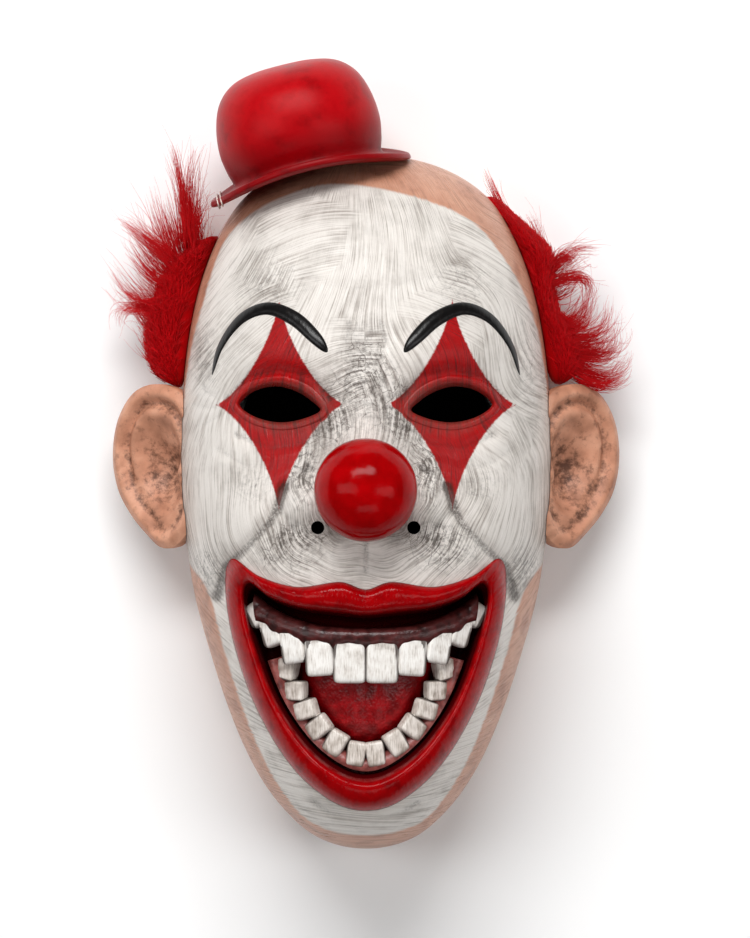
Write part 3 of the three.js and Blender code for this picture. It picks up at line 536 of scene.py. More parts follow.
def mouth_point(share, across):
    """Place in plan for a share of the way round the mouth. across is 0 at the lip's outer
    edge, 1 at its inner edge and 2 in the middle. The lip's height share comes with it."""
    row = round_trip(mouth_rows, share)
    size = np.array([MOUTH_HALF_WIDTH, -MOUTH_HEIGHT])
    outer = row[..., 0:2] * size + (0, MOUTH_TOP)
    inner = row[..., 2:4] * size + (0, MOUTH_TOP)
    a = np.asarray(across, float)[..., None]
    place = np.where(a < 1, outer + (inner - outer) * a, inner + (MOUTH_MIDDLE - inner) * (a - 1))
    return place, row[..., 4]


print("the lips' top lies at", mouth_point(0, 0)[0].round(1), "mm")

# %% [markdown]
# ## A wall of even thickness
#
# A moulded wall is as thick everywhere, so that it cools evenly. A Solidify modifier would do on
# a gentle form, but this one also needs a flat foot that stands on the floor. So an outer and an
# inner solid are made with one function, the inner is cut from the outer, and plugs cut the
# openings. A round grid suits the face: its rings run out from the nose, where the ball hides
# the pole, and the outermost rings crowd together where the dome turns steep.

# %% The shell and its holes
def face_solid(grow, foot, rings, spokes, fine=True):
    """The space under the face. A ring's share of the way out is the sine of its share of a
    quarter turn, and the outline is the dome's own edge."""
    angle = np.arange(spokes) / spokes * 2 * np.pi
    climb = np.arcsin(np.clip(np.sin(angle), -1, 1))
    wide = through(SECTION_ANGLES, SECTIONS[:, 1], climb)
    edge_x = np.sign(np.cos(angle)) * (HALF_WIDTH + grow) * wide
    edge_y = (HALF_HEIGHT + grow) * np.sin(angle)
    share = np.sin(np.arange(1, rings + 1) / rings * np.pi / 2)[:, None]
    x = share * edge_x
    y = NOSE_UP + share * (edge_y - NOSE_UP)
    z = face(x, y, grow, fine)
    z[-1] = RIM_DEPTH
    front = np.stack([x, y, z], axis=-1)
    band_steps = 6
    band = np.repeat(front[-1:], band_steps, axis=0)
    band[..., 2] = np.linspace(RIM_DEPTH, foot, band_steps + 1)[1:, None]
    return skin(np.concatenate([front, band]))


def plug(name, outline):
    """A straight cutter through the shell, with a closed outline in plan."""
    heights = np.array([-10.0, 2 * FACE_DEPTH])
    flat = np.repeat(outline[None], 2, axis=0)
    levels = np.broadcast_to(heights[:, None, None], (2, len(outline), 1))
    return make_object(name, skin(np.concatenate([flat, levels], axis=-1)))


OUTLINE_STEPS = 160
round_shares = np.arange(OUTLINE_STEPS) / OUTLINE_STEPS
shell = make_object("mask_shell_face", face_solid(0, 0, 150, 500))
lining = make_object("lining_tool", face_solid(-WALL, -WALL, 84, 200))
tools = [lining, plug("mouth_tool", mouth_point(round_shares, np.full(OUTLINE_STEPS, 0.5))[0])]
turn = round_shares * 2 * np.pi
circle = np.stack([np.cos(turn), np.sin(turn)], axis=-1)
for side in (-1, 1):
    tools.append(plug("eye_tool", eye_outline(side, round_shares)))
    centre = np.array([side * NOSTRIL_SPACING / 2, NOSTRIL_UP])
    tools.append(plug("nostril_tool", centre + circle * NOSTRIL_RADIUS))
cut(shell, tools)
for tool in tools:
    bpy.data.objects.remove(tool)
print("shell corners", len(shell.data.vertices))

# %% [markdown]
# ## A black card under the mask, as painted shade
#
# A black card lies under the mask as painted shade: it darkens what shows through the eye holes,
# since light that falls in through them would come back off a pale floor. The card is a thin oval
# that hides wholly inside the rim. It belongs to the floor, not to the mask.

# %% The card
CARD_ACROSS = 60
CARD_ALONG = 78
CARD_UP = 14
CARD_TOP = 0.6
CARD_BOTTOM = 0.1


def card_loops():
    """An oval plate: across times the cosine, along times the sine, at two heights."""
    turn = np.arange(90) / 90 * 2 * np.pi
    rows = [(0.02, CARD_TOP), (1, CARD_TOP), (1, CARD_BOTTOM), (0.02, CARD_BOTTOM)]
    return np.array([np.stack([
        share * CARD_ACROSS * np.cos(turn), share * CARD_ALONG * np.sin(turn) + CARD_UP,
        height + 0 * turn,
    ], axis=-1) for share, height in rows])


card = make_object("black_shade_card", skin(card_loops()))
card_material, tree, shader = start_material(
    "black_shade_card", Roughness=0.95, Specular_IOR_Level=0.1,
)
shader.inputs["Base Color"].default_value = linear("#0b0a0a")
card.data.materials.append(card_material)
card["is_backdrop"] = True
print("the card is", 2 * CARD_ACROSS, "by", 2 * CARD_ALONG, "mm")

# %% [markdown]
# ## What the paint has to know
#
# A mask painter works by place: white stops short of the crown and of the jaw, red diamonds stand
# round the eyes, brush strokes fan out over the forehead and curl round the cheeks, and a thin
# dark wash stays in the hollows, where painted shade darkens them further. Each of those is a
# number that can be worked out for every corner of the mesh and stored there, so the paint stays
# in place and its lines stay as sharp as the grid is fine.

# %% Paint maps of the shell
WHITE_EDGE = [
    (-5, 141), (40, 129), (60, 111), (74, 86), (80.5, 59), (84, 23), (84, -20), (71, -39),
    (62, -70), (51, -102), (39, -126), (24, -143), (0, -148), (-24, -143), (-39, -126),
    (-51, -102), (-62, -70), (-71, -39), (-84, -20), (-84, 23), (-80.5, 59), (-74, 86),
    (-61, 120), (-34, 137),
]
WHITE_STEPS = 192
DIAMOND_WIDE = 29
DIAMOND_TALL = 47
DIAMOND_POWER = 0.72
# The strokes on the forehead fan out below a place above the crown, and the others curl round
# a place on the nose.
FAN_UP = 178
SWIRL = (0, 8)
STROKE_WIDTH = 0.55
STROKE_LENGTH = 20
# Places round the brows, eyes, nose and mouth where soot and painted shade darken the white.
SOOT_AND_SHADE = [
    # place, side and up, reach across and along, strength
    ("between the brows", 0, 0.36, 0.14, 0.13, 1.2),
    ("inner corner of the eye", 0.19, 0.24, 0.1, 0.08, 1.4),
    ("side of the nose", 0.33, 0.09, 0.08, 0.09, 1.4),
    ("under the nose wing", 0.34, -0.09, 0.16, 0.035, 1.2),
    ("upper lip", 0.42, -0.15, 0.18, 0.05, 0.9),
    ("corner of the mouth", 0.85, -0.2, 0.09, 0.07, 1.0),
    ("cheek under the eye", 0.6, 0.05, 0.13, 0.06, 0.5),
    ("temple", 0.86, 0.4, 0.09, 0.12, 0.5),
    ("forehead", 0.5, 0.62, 0.2, 0.09, 0.45),
]
print(len(WHITE_EDGE), "points lie round the white paint and", len(SOOT_AND_SHADE), "places with soot")

# %% Distances, hollows and soot
def inside_distance(x, y, outline):
    """Distance to a closed outline, positive inside it. A place is inside if a line from it to
    the right crosses the outline an odd number of times."""
    closed = np.concatenate([outline, outline[:1]])
    crossings = np.zeros(np.shape(x), int)
    for (ax, ay), (bx, by) in zip(closed[:-1], closed[1:]):
        if ay != by:
            reaches = (ay > y) != (by > y)
            crossings += reaches & (x < ax + (y - ay) / (by - ay) * (bx - ax))
    return np.where(crossings % 2 == 1, 1, -1) * to_path(x, y, closed)


def depth_among(x, y, circles, fine=True):
    """How far a place lies below the mean of the relief round it, at eight places on each of
    some circles, whose radii are in mm."""
    here = relief(x, y, fine)
    rises = [relief(x + reach * np.cos(turn), y + reach * np.sin(turn), fine) - here
             for reach in circles for turn in np.arange(8) * np.pi / 4]
    return sum(rises) / len(rises)


def soot_and_shade(x, y):
    """The sum of bells over the plan, one for each place where soot and painted shade are laid on.
    """
    total = np.zeros(np.shape(x))
    for _, side, up, across, along, strength in SOOT_AND_SHADE:
        for place in ([0] if side == 0 else [side, -side]):
            spread = ((x / HALF_WIDTH - place) / across) ** 2
            total += strength * np.exp(-spread - ((y / HALF_HEIGHT - up) / along) ** 2)
    return total


print("soot between the brows:", round(float(soot_and_shade(0, 0.36 * HALF_HEIGHT)), 2))

# %% The maps on the shell
def note_paint(piece):
    """Store the paint's maps on a piece of the face."""
    x, y, z = corners(piece)
    white = inside_distance(x, y, round_trip(WHITE_EDGE, np.arange(WHITE_STEPS) / WHITE_STEPS))
    note(piece, "white_edge", np.minimum(white, (z - RIM_DEPTH - 6) * 0.8))
    note(piece, "hollow", depth_among(x, y, (3, 6)))
    star = (np.abs((np.abs(x) - EYE_SPACING / 2) / DIAMOND_WIDE) ** DIAMOND_POWER
            + np.abs((y - EYE_UP) / DIAMOND_TALL) ** DIAMOND_POWER)
    lids = inside_distance(np.abs(x), y, eye_outline(1, round_shares)) + 3.5
    note(piece, "diamond", np.maximum((1 - star) * DIAMOND_WIDE * 0.7, lids))
    reach = np.hypot(x, FAN_UP - y)
    turn = np.arctan2(x, FAN_UP - y) + 0.035 * np.sin(reach / 13 + x / 19)
    fan = np.stack([turn * 90 / STROKE_WIDTH, reach / STROKE_LENGTH, z / STROKE_LENGTH], axis=-1)
    note(piece, "fan_strokes", fan)
    turn = np.arctan2(x - SWIRL[0], SWIRL[1] - y)
    reach = np.hypot(x - SWIRL[0], y - SWIRL[1])
    # The rows of strokes wander in and out by a millimetre or two, as a hand does.
    sway = 1.4 * np.sin(turn * 5 + reach / 17) + 0.8 * np.sin(turn * 11 - reach / 9)
    curl = [(reach + sway) / STROKE_WIDTH, turn * 55 / STROKE_LENGTH, z / STROKE_LENGTH]
    note(piece, "round_strokes", np.stack(curl, axis=-1))
    note(piece, "basin", depth_among(x, y, (10, 16), fine=False))
    note(piece, "soot_and_shade", soot_and_shade(x, y))
    note(piece, "low", ease(34, 0, y + 6 * np.sin(x / 9)))


note_paint(shell)
print("paint maps:", [layer.name for layer in shell.data.attributes if layer.name[0] != "."])

# %% [markdown]
# ## Painted vinyl
#
# The face is flesh coloured vinyl under hand-brushed acrylic. Acrylic dries satin and keeps the
# ridges of the brush, so the streaks drive the colour, the gloss and a very low bump together.
# The dark wash and painted shade come last: painted shade greys the broad hollows, and wash and
# painted shade fill the creases, where the hollow map is high.

# %% Brush strokes and flesh
face_paint, tree, shader = start_material(
    "brushed_acrylic_on_vinyl", IOR=1.49, Specular_IOR_Level=0.3,
)
place = add(tree, "TexCoord").outputs["Object"]


def sized(feature):
    """Noise scale for features of a size in mm, since places are in metres."""
    return 1000 / feature


fan = add(tree, "Attribute", attribute_name="fan_strokes").outputs["Vector"]
fan = add(tree, "TexNoise", {"Vector": fan, "Scale": 1.0,
                             "Detail": 4.0, "Roughness": 0.55, "Distortion": 0.25})
curl = add(tree, "Attribute", attribute_name="round_strokes").outputs["Vector"]
curl = add(tree, "TexNoise", {"Vector": curl, "Scale": 1.0,
                              "Detail": 4.0, "Roughness": 0.55, "Distortion": 0.3})
# Here and there the brush was turned, so the two families of strokes swap in patches.
turned = add(tree, "TexNoise", {"Vector": place, "Scale": sized(38), "Detail": 1.0}).outputs[0]
turned = add(tree, "MapRange", {"Value": turned, "From Min": 0.52, "From Max": 0.57,
                                "To Max": 0.85}).outputs[0]
low = add(tree, "Attribute", attribute_name="low").outputs["Fac"]
turned = add(tree, "Math", {0: turned, 1: low}, operation="MAXIMUM").outputs[0]
strokes = add(tree, "Mix", {0: turned, 2: fan.outputs[0], 3: curl.outputs[0]}).outputs[0]
patches = add(tree, "TexNoise", {"Vector": place, "Scale": sized(20), "Detail": 4.0,
                                 "Roughness": 0.6}).outputs[0]
specks = add(tree, "TexNoise", {"Vector": place, "Scale": sized(1.3), "Detail": 6.0,
                                "Roughness": 0.75}).outputs[0]

flesh = add(tree, "ValToRGB", {0: patches}, [
    (0.32, "#a06f58"), (0.45, "#c18a70"), (0.58, "#cc987e"), (0.7, "#b27c63"),
]).outputs[0]
smudge = add(tree, "MapRange", {"Value": strokes, "From Min": 0.5, "From Max": 0.68,
                                "To Max": 0.45}).outputs[0]
flesh = add(tree, "Mix", {0: smudge, 6: flesh, 7: linear("#6d4535")}, data_type="RGBA").outputs[2]
print("nodes up to the flesh", len(tree.nodes))

# %% The white and its soot
white = add(tree, "ValToRGB", {0: strokes}, [
    (0.34, "#e8e2dc"), (0.5, "#ded8d1"), (0.6, "#ccc4bd"), (0.72, "#a59c94"),
]).outputs[0]
# Where the white is thin, more of the dark wash stays in the brush marks.
worn = add(tree, "MapRange", {"Value": patches, "From Min": 0.46, "From Max": 0.68}).outputs[0]
marks = add(tree, "MapRange", {"Value": strokes, "From Min": 0.4, "From Max": 0.62,
                               "To Min": 0.18, "To Max": 0.7}).outputs[0]
worn = add(tree, "Math", {0: marks, 1: worn}, operation="MULTIPLY").outputs[0]
white = add(tree, "Mix", {0: worn, 6: white, 7: linear("#8a8179")}, data_type="RGBA").outputs[2]
# Soot and painted shade are stippled on: they show where their map is high and the fine noise or a
# brush mark agrees.
stipple = add(tree, "TexNoise", {"Vector": place, "Scale": sized(2.4), "Detail": 7.0,
                                 "Roughness": 0.78}).outputs[0]
stipple = add(tree, "Mix", {0: 0.4, 2: stipple, 3: strokes}).outputs[0]
stipple = add(tree, "MapRange", {"Value": stipple, "From Min": 0.44, "From Max": 0.6}).outputs[0]
soot_and_shade_map = add(tree, "Attribute", attribute_name="soot_and_shade").outputs["Fac"]
soot_and_shade_cover = add(tree, "Math", {0: soot_and_shade_map, 1: stipple}, operation="MULTIPLY").outputs[0]
soot_and_shade_cover = add(tree, "MapRange", {"Value": soot_and_shade_cover, "From Min": 0.05, "From Max": 0.9,
                               "To Max": 0.85}).outputs[0]
white = add(tree, "Mix", {0: soot_and_shade_cover, 6: white, 7: linear("#463d37")}, data_type="RGBA").outputs[2]

ragged = add(tree, "MapRange", {"Value": strokes, "From Min": 0.25, "From Max": 0.75,
                                "To Min": -0.8, "To Max": 0.8}).outputs[0]
edge = add(tree, "Attribute", attribute_name="white_edge").outputs["Fac"]
edge = add(tree, "Math", {0: edge, 1: ragged}, operation="ADD").outputs[0]
cover = add(tree, "MapRange", {"Value": edge, "From Min": -0.5, "From Max": 0.8},
            interpolation_type="SMOOTHSTEP").outputs[0]
skin_colour = add(tree, "Mix", {0: cover, 6: flesh, 7: white}, data_type="RGBA").outputs[2]
print("nodes up to the white", len(tree.nodes))

# %% Cracks and red diamonds
# Hairline cracks run where a voronoi cell meets the next, bent by noise, in some patches only.
bend = add(tree, "TexNoise", {"Vector": place, "Scale": sized(9), "Detail": 3.0}).outputs["Color"]
bent = add(tree, "VectorMath", {0: bend, 1: (0.012, 0.012, 0.012)}, operation="MULTIPLY").outputs[0]
bent = add(tree, "VectorMath", {0: place, 1: bent}, operation="ADD").outputs[0]
cells = add(tree, "TexVoronoi", {"Vector": bent, "Scale": sized(11)}, feature="DISTANCE_TO_EDGE")
crack = add(tree, "MapRange", {"Value": cells.outputs[0], "From Min": 0.018, "From Max": 0.0})
crack = crack.outputs[0]
where = add(tree, "MapRange", {"Value": soot_and_shade_map, "From Min": 0.2, "From Max": 0.6,
                               "To Max": 0.8}).outputs[0]
crack = add(tree, "Math", {0: crack, 1: where}, operation="MULTIPLY").outputs[0]
skin_colour = add(tree, "Mix", {0: crack, 6: skin_colour, 7: linear("#4f453f")},
                  data_type="RGBA").outputs[2]

red = add(tree, "ValToRGB", {0: strokes}, [
    (0.36, "#ac0004"), (0.52, "#980003"), (0.68, "#640002"),
]).outputs[0]
red_shift = add(tree, "MapRange", {"Value": specks, "From Min": 0.3, "From Max": 0.7,
                                   "To Min": -0.3, "To Max": 0.3}).outputs[0]
red_edge = add(tree, "Attribute", attribute_name="diamond").outputs["Fac"]
red_edge = add(tree, "Math", {0: red_edge, 1: red_shift}, operation="ADD").outputs[0]
red_cover = add(tree, "MapRange", {"Value": red_edge, "From Min": -0.35, "From Max": 0.35},
                interpolation_type="SMOOTHSTEP").outputs[0]
skin_colour = add(tree, "Mix", {0: red_cover, 6: skin_colour, 7: red},
                  data_type="RGBA").outputs[2]
print("nodes up to the diamonds", len(tree.nodes))

# %% The dark wash, painted shade, gloss and brush ridges
# Painted shade: a soft grey in the broad hollows, broken up by specks. Dark wash and painted shade:
# black in the creases.
basin_noise = add(tree, "MapRange", {"Value": specks, "From Min": 0.35, "From Max": 0.65,
                                     "To Min": 0.35, "To Max": 1.3}).outputs[0]
broad = add(tree, "Attribute", attribute_name="basin").outputs["Fac"]
broad = add(tree, "MapRange", {"Value": broad, "From Min": 0.3, "From Max": 2.6,
                               "To Max": 0.5}, interpolation_type="SMOOTHSTEP").outputs[0]
broad = add(tree, "Math", {0: broad, 1: basin_noise}, operation="MULTIPLY", use_clamp=True)
skin_colour = add(tree, "Mix", {0: broad.outputs[0], 6: skin_colour, 7: linear("#56493f")},
                  data_type="RGBA").outputs[2]
wash_and_shade_noise = add(tree, "MapRange", {"Value": specks, "From Min": 0.3, "From Max": 0.7,
                                    "To Min": 0.2, "To Max": 1.8}).outputs[0]
# Dark wash and painted shade in the creases, where the hollow map is high.
wash_and_shade = add(tree, "Attribute", attribute_name="hollow").outputs["Fac"]
wash_and_shade = add(tree, "Math", {0: wash_and_shade, 1: wash_and_shade_noise}, operation="MULTIPLY").outputs[0]
wash_and_shade = add(tree, "MapRange", {"Value": wash_and_shade, "From Min": 0.12, "From Max": 1.5, "To Max": 0.66},
           interpolation_type="SMOOTHSTEP").outputs[0]
skin_colour = add(tree, "Mix", {0: wash_and_shade, 6: skin_colour, 7: linear("#2e241f")},
                  data_type="RGBA").outputs[2]
tree.links.new(skin_colour, shader.inputs["Base Color"])
gloss = add(tree, "MapRange", {"Value": strokes, "From Min": 0.3, "From Max": 0.7,
                               "To Min": 0.24, "To Max": 0.46}).outputs[0]
tree.links.new(gloss, shader.inputs["Roughness"])
ridges = add(tree, "Bump", {"Height": strokes, "Strength": 0.55, "Distance": 0.0006}).outputs[0]
pores = add(tree, "Bump", {"Height": specks, "Strength": 0.4, "Distance": 0.0004,
                           "Normal": ridges}).outputs[0]
tree.links.new(pores, shader.inputs["Normal"])
print("face paint nodes", len(tree.nodes))

# %% [markdown]
# ## The dark inside
#
# The inside is charcoal vinyl. Vinyl that cools in the open has a fine orange peel and hardly any
# gleam. Its dark colour is painted shade, standing in for the shade inside the mask, so the holes
# of the face read dark. The faces of the lining get their own material slot: a face belongs to it
# if it lies nearer the lining than the outside.

# %% Dark vinyl on the inside, as painted shade
shade_lining, tree, shader = start_material(
    "charcoal_shade_lining", IOR=1.5, Roughness=0.9, Specular_IOR_Level=0.1,
)
place = add(tree, "TexCoord").outputs["Object"]
clouds = add(tree, "TexNoise", {"Vector": place, "Scale": sized(14), "Detail": 3.0}).outputs[0]
tint = add(tree, "ValToRGB", {0: clouds}, [(0.3, "#0f0d0c"), (0.7, "#1a1715")]).outputs[0]
tree.links.new(tint, shader.inputs["Base Color"])
orange_peel = add(tree, "TexNoise", {"Vector": place, "Scale": sized(1.5), "Detail": 2.0})
peel = add(tree, "Bump", {"Height": orange_peel.outputs[0], "Strength": 0.2, "Distance": 0.0004})
tree.links.new(peel.outputs[0], shader.inputs["Normal"])
print("lining paint nodes", len(tree.nodes))

# %% The two materials on the shell
dress(shell, "white_paint", face_paint, shade_lining, replaces=["mask_shell"])
centres = np.empty(len(shell.data.polygons) * 3)
shell.data.polygons.foreach_get("center", centres)
centre_x, centre_y, centre_z = (centres.reshape(-1, 3) / MM).T
outside = np.abs(centre_z - face(centre_x, centre_y))
lining_face = face(centre_x, centre_y, -WALL)
inside = np.abs(centre_z - lining_face) < outside
within = dome(centre_x, centre_y, -WALL / 2) > 1e-6
inner = (within & (inside | (centre_z < RIM_DEPTH)) & (centre_z > 0.01)).astype(np.int32)
shell.data.polygons.foreach_set("material_index", inner)
print("inner faces", int(inner.sum()), "of", len(inner))

# %% [markdown]
# ## Lips and the hollow of the mouth
#
# The lips are one rolled form round the laugh, and the same moulding drops behind them to carry
# the teeth. It is a closed grid: shares of the way round the mouth one way, and the other way a
# section that starts in the middle of the hollow, climbs its wall, rolls over the lip and comes
# back underneath. The place across the lip is stored, so that the paint can darken towards the
# inside.

# %% The lips
MOUTH_DEPTH = 26
LIP_HEIGHT = 5.5
LIP_SECTION = np.array([
    # across, lip height share, sink share, added height
    (1.9, 0, 1, 0), (1.6, 0, 1, 0), (1.22, 0, 1, 0), (1.08, 0, 0.85, 0), (1.02, 0, 0.3, 0),
    (0.96, 0.1, 0.05, 0), (0.78, 0.78, 0, 0), (0.5, 1, 0, 0), (0.24, 0.85, 0, 0),
    (0.07, 0.4, 0, 0), (0, -0.2, 0, 0), (0.08, 0, 0, -WALL), (0.72, 0, 0, -WALL),
    (0.8, 0, 0.3, -WALL), (0.88, 0, 0.95, -WALL), (1.22, 0, 1, -WALL), (1.9, 0, 1, -WALL),
])
LIP_ROWS = 112
LIP_COLUMNS = 420


def lip_surface(section_place, share):
    """Place on the lips for a place along the section and a share of the way round: the face's
    height, plus the lip's height, minus the sink, over a place between lip edge and middle."""
    across, rise, sink, lift = through(np.arange(len(LIP_SECTION)), LIP_SECTION, section_place).T
    across, rise, sink, lift = (column[:, None] for column in (across, rise, sink, lift))
    place, crest = mouth_point(share[None, :], across + 0 * share)
    x, y = place[..., 0], place[..., 1]
    # The lip is a little lumpy, as hand-carved lips are, with soft creases across it.
    lumps = 0.04 * np.sin(share * 2 * np.pi * 9 + 1) + 0.025 * np.sin(share * 2 * np.pi * 23)
    height = face(x, y) + rise * (crest + lumps) * LIP_HEIGHT - sink * MOUTH_DEPTH + lift
    return np.stack([x, y, height], axis=-1), across + 0 * share


share = np.arange(LIP_COLUMNS) / LIP_COLUMNS
lip_loops, lip_across = lip_surface(np.linspace(0, len(LIP_SECTION) - 1, LIP_ROWS), share)
lips = make_object("lips", skin(lip_loops), smooth_angle=60)
ends = [lip_across[0].mean(), lip_across[-1].mean()]
note(lips, "across", np.concatenate([lip_across.ravel(), ends]))
note(lips, "round", np.concatenate([np.tile(share, LIP_ROWS), [0, 0]]))
print("lip corners", len(lips.data.vertices))

# %% [markdown]
# ## Red enamel on the lips
#
# Enamel is brushed on thick and flows out, so it is glossy and hides the vinyl. It is darker in a
# thin line at the seam with the face, and painted shade darkens it where the lip turns in and drops
# into the mouth, while the crest keeps a brighter red. The place across the lip, stored with the
# mesh, drives both. Fine folds run across the lips, so their noise is stretched along the way
# across.

# %% Glossy red enamel
lip_paint, tree, shader = start_material(
    "glossy_red_enamel", IOR=1.45, Specular_IOR_Level=0.14,
)
place = add(tree, "TexCoord").outputs["Object"]
clouds = add(tree, "TexNoise", {"Vector": place, "Scale": sized(6), "Detail": 4.0}).outputs[0]
specks = add(tree, "TexNoise", {"Vector": place, "Scale": sized(0.9), "Detail": 4.0,
                                "Roughness": 0.7}).outputs[0]
red = add(tree, "ValToRGB", {0: clouds}, [
    (0.3, "#7c0003"), (0.45, "#920004"), (0.6, "#9e0105"), (0.72, "#880004"),
]).outputs[0]
across = add(tree, "Attribute", attribute_name="across").outputs["Fac"]
# Painted shade: the lip darkens where it turns in and down the wall of the mouth's hollow.
deep = add(tree, "MapRange", {"Value": across, "From Min": 0.8, "From Max": 1.06},
           interpolation_type="SMOOTHSTEP").outputs[0]
red = add(tree, "Mix", {0: deep, 6: red, 7: linear("#3a0205")}, data_type="RGBA").outputs[2]
# A thin darker line at the lip's outer edge, along the seam with the face.
outline = add(tree, "MapRange", {"Value": across, "From Min": 0.08, "From Max": 0.0,
                                 "To Max": 0.45}, interpolation_type="SMOOTHSTEP").outputs[0]
red = add(tree, "Mix", {0: outline, 6: red, 7: linear("#2a0204")}, data_type="RGBA").outputs[2]
tree.links.new(red, shader.inputs["Base Color"])
gloss = add(tree, "MapRange", {"Value": specks, "From Min": 0.35, "From Max": 0.7,
                               "To Min": 0.12, "To Max": 0.24}).outputs[0]
tree.links.new(gloss, shader.inputs["Roughness"])
way_round = add(tree, "Attribute", attribute_name="round").outputs["Fac"]
grooves = add(tree, "CombineXYZ", {"X": way_round, "Y": across}).outputs[0]
folds = add(tree, "Mapping", {"Vector": grooves, "Scale": (190, 2.2, 1)}).outputs[0]
folds = add(tree, "TexNoise", {"Vector": folds, "Scale": 1.0, "Detail": 2.0}).outputs[0]
rough = add(tree, "Bump", {"Height": folds, "Strength": 0.45, "Distance": 0.0008}).outputs[0]
rough = add(tree, "Bump", {"Height": specks, "Strength": 0.1, "Distance": 0.0002,
                           "Normal": rough}).outputs[0]
tree.links.new(rough, shader.inputs["Normal"])
dress(lips, "red_paint", lip_paint)
print("lip paint nodes", len(tree.nodes))

# %% [markdown]
# ## Eyelids and brows
#
# Each eye hole has a rolled lid that hides the cut edge, and each brow is a raised black stroke,
# high and arched. A lid is a small oval section carried round the hole, thicker above than below.
# A brow is a section that swells and thins along a curve on the forehead.

# %% The lids
LID_UPPER = (2.5, 1.9)
LID_LOWER = (1.8, 1.2)
LID_OUT = 0.9


def lid_surface(side, share, turn):
    """An oval of half width a and half height b, which blend from the lower lid's to the upper
    lid's, carried round the outline of the eye. The place out of the hole is a times the
    cosine of the turn and the height over the face b times its sine."""
    outline = eye_outline(side, share)
    step = eye_outline(side, share + 0.002) - eye_outline(side, share - 0.002)
    step /= np.linalg.norm(step, axis=-1, keepdims=True)
    out = np.stack([step[:, 1], -step[:, 0]], axis=-1)
    middle = np.array([side * EYE_SPACING / 2, EYE_UP])
    out *= np.sign(np.sum(out * (outline - middle), axis=-1, keepdims=True))
    upper = ease(-3, 3, outline[:, 1] - EYE_UP)
    a = LID_LOWER[0] + (LID_UPPER[0] - LID_LOWER[0]) * upper
    b = LID_LOWER[1] + (LID_UPPER[1] - LID_LOWER[1]) * upper
    away = LID_OUT + a * np.cos(turn)[:, None]
    x = outline[:, 0] + away * out[:, 0]
    y = outline[:, 1] + away * out[:, 1]
    z = face(x, y) - 0.3 * b + b * np.sin(turn)[:, None] - 1.4 * (away < 0) * np.abs(away)
    return np.stack([x, y, z], axis=-1)


lid_turn = np.arange(28) / 28 * 2 * np.pi
lid_share = np.arange(180) / 180
for side, name in ((-1, "lid_left"), (1, "lid_right")):
    lid = make_object(name, ring(lid_surface(side, lid_share, lid_turn)), smooth_angle=60)
    note_paint(lid)
    dress(lid, "white_paint", face_paint)
print("lid corners", len(lid.data.vertices))

# %% [markdown]
# ## The brows
#
# Each brow is a bead of black enamel, laid on thick with one stroke of a brush. Enamel stays
# glossy as it dries, so its crest catches the light and the rest is nearly black. A curve with a
# bevel could draw it, but here the section swells and thins along the way.

# %% The brows
BROW_WIDTH = 6
BROW_HEIGHT = 1.5
BROW_ROOT = 0.3
BROW = np.array([
    # side, up, width share, height share
    (0.2, 0.418, 0.6, 0.7),
    (0.27, 0.462, 1.0, 1.0),
    (0.38, 0.515, 1.1, 1.0),
    (0.52, 0.543, 0.95, 0.9),
    (0.66, 0.515, 0.75, 0.75),
    (0.77, 0.44, 0.5, 0.55),
    (0.82, 0.355, 0.25, 0.35),
])


def brow_surface(side, along, turn):
    """An ellipse carried along the brow's curve. It closes at both ends, where its size is
    multiplied by the square root of 1 minus the end's share to the tenth power."""
    row = through(np.linspace(0, 1, len(BROW)), BROW, along)
    ahead = through(np.linspace(0, 1, len(BROW)), BROW, along + 0.01)
    behind = through(np.linspace(0, 1, len(BROW)), BROW, along - 0.01)
    middle = np.stack([side * row[:, 0] * HALF_WIDTH, row[:, 1] * HALF_HEIGHT], axis=-1)
    run = (ahead - behind)[:, :2] * (side * HALF_WIDTH, HALF_HEIGHT)
    run /= np.linalg.norm(run, axis=-1, keepdims=True)
    close = np.sqrt(np.maximum(1 - (2 * along - 1) ** 10, 0))[:, None]
    half = (row[:, 2] * BROW_WIDTH / 2)[:, None] * close
    x = middle[:, :1] - run[:, 1:] * half * np.cos(turn)
    y = middle[:, 1:] + run[:, :1] * half * np.cos(turn)
    tall = (row[:, 3] * BROW_HEIGHT + BROW_ROOT)[:, None] * close
    z = face(x, y) - BROW_ROOT + tall * np.sin(turn)
    return np.stack([x, y, z], axis=-1)


black_enamel, tree, shader = start_material(
    "glossy_black_enamel", IOR=1.5, Specular_IOR_Level=0.3,
)
place = add(tree, "TexCoord").outputs["Object"]
hairs = add(tree, "Mapping", {"Vector": place, "Scale": (1, 0.35, 1)}).outputs[0]
hairs = add(tree, "TexNoise", {"Vector": hairs, "Scale": sized(2.2), "Detail": 3.0}).outputs[0]
black = add(tree, "ValToRGB", {0: hairs}, [(0.35, "#050404"), (0.6, "#0c0909"), (0.75, "#1a1412")])
tree.links.new(black.outputs[0], shader.inputs["Base Color"])
shader.inputs["Roughness"].default_value = 0.28
rough = add(tree, "Bump", {"Height": hairs, "Strength": 0.3, "Distance": 0.0006}).outputs[0]
tree.links.new(rough, shader.inputs["Normal"])

brow_along = (1 - np.cos(np.linspace(0, np.pi, 90))) / 2
brow_turn = np.arange(28) / 28 * 2 * np.pi
for side, name in ((-1, "brow_left"), (1, "brow_right")):
    brow = make_object(name, skin(brow_surface(side, brow_along, brow_turn)), smooth_angle=60)
    dress(brow, "white_paint", black_enamel)
print("brow corners", len(brow.data.vertices))

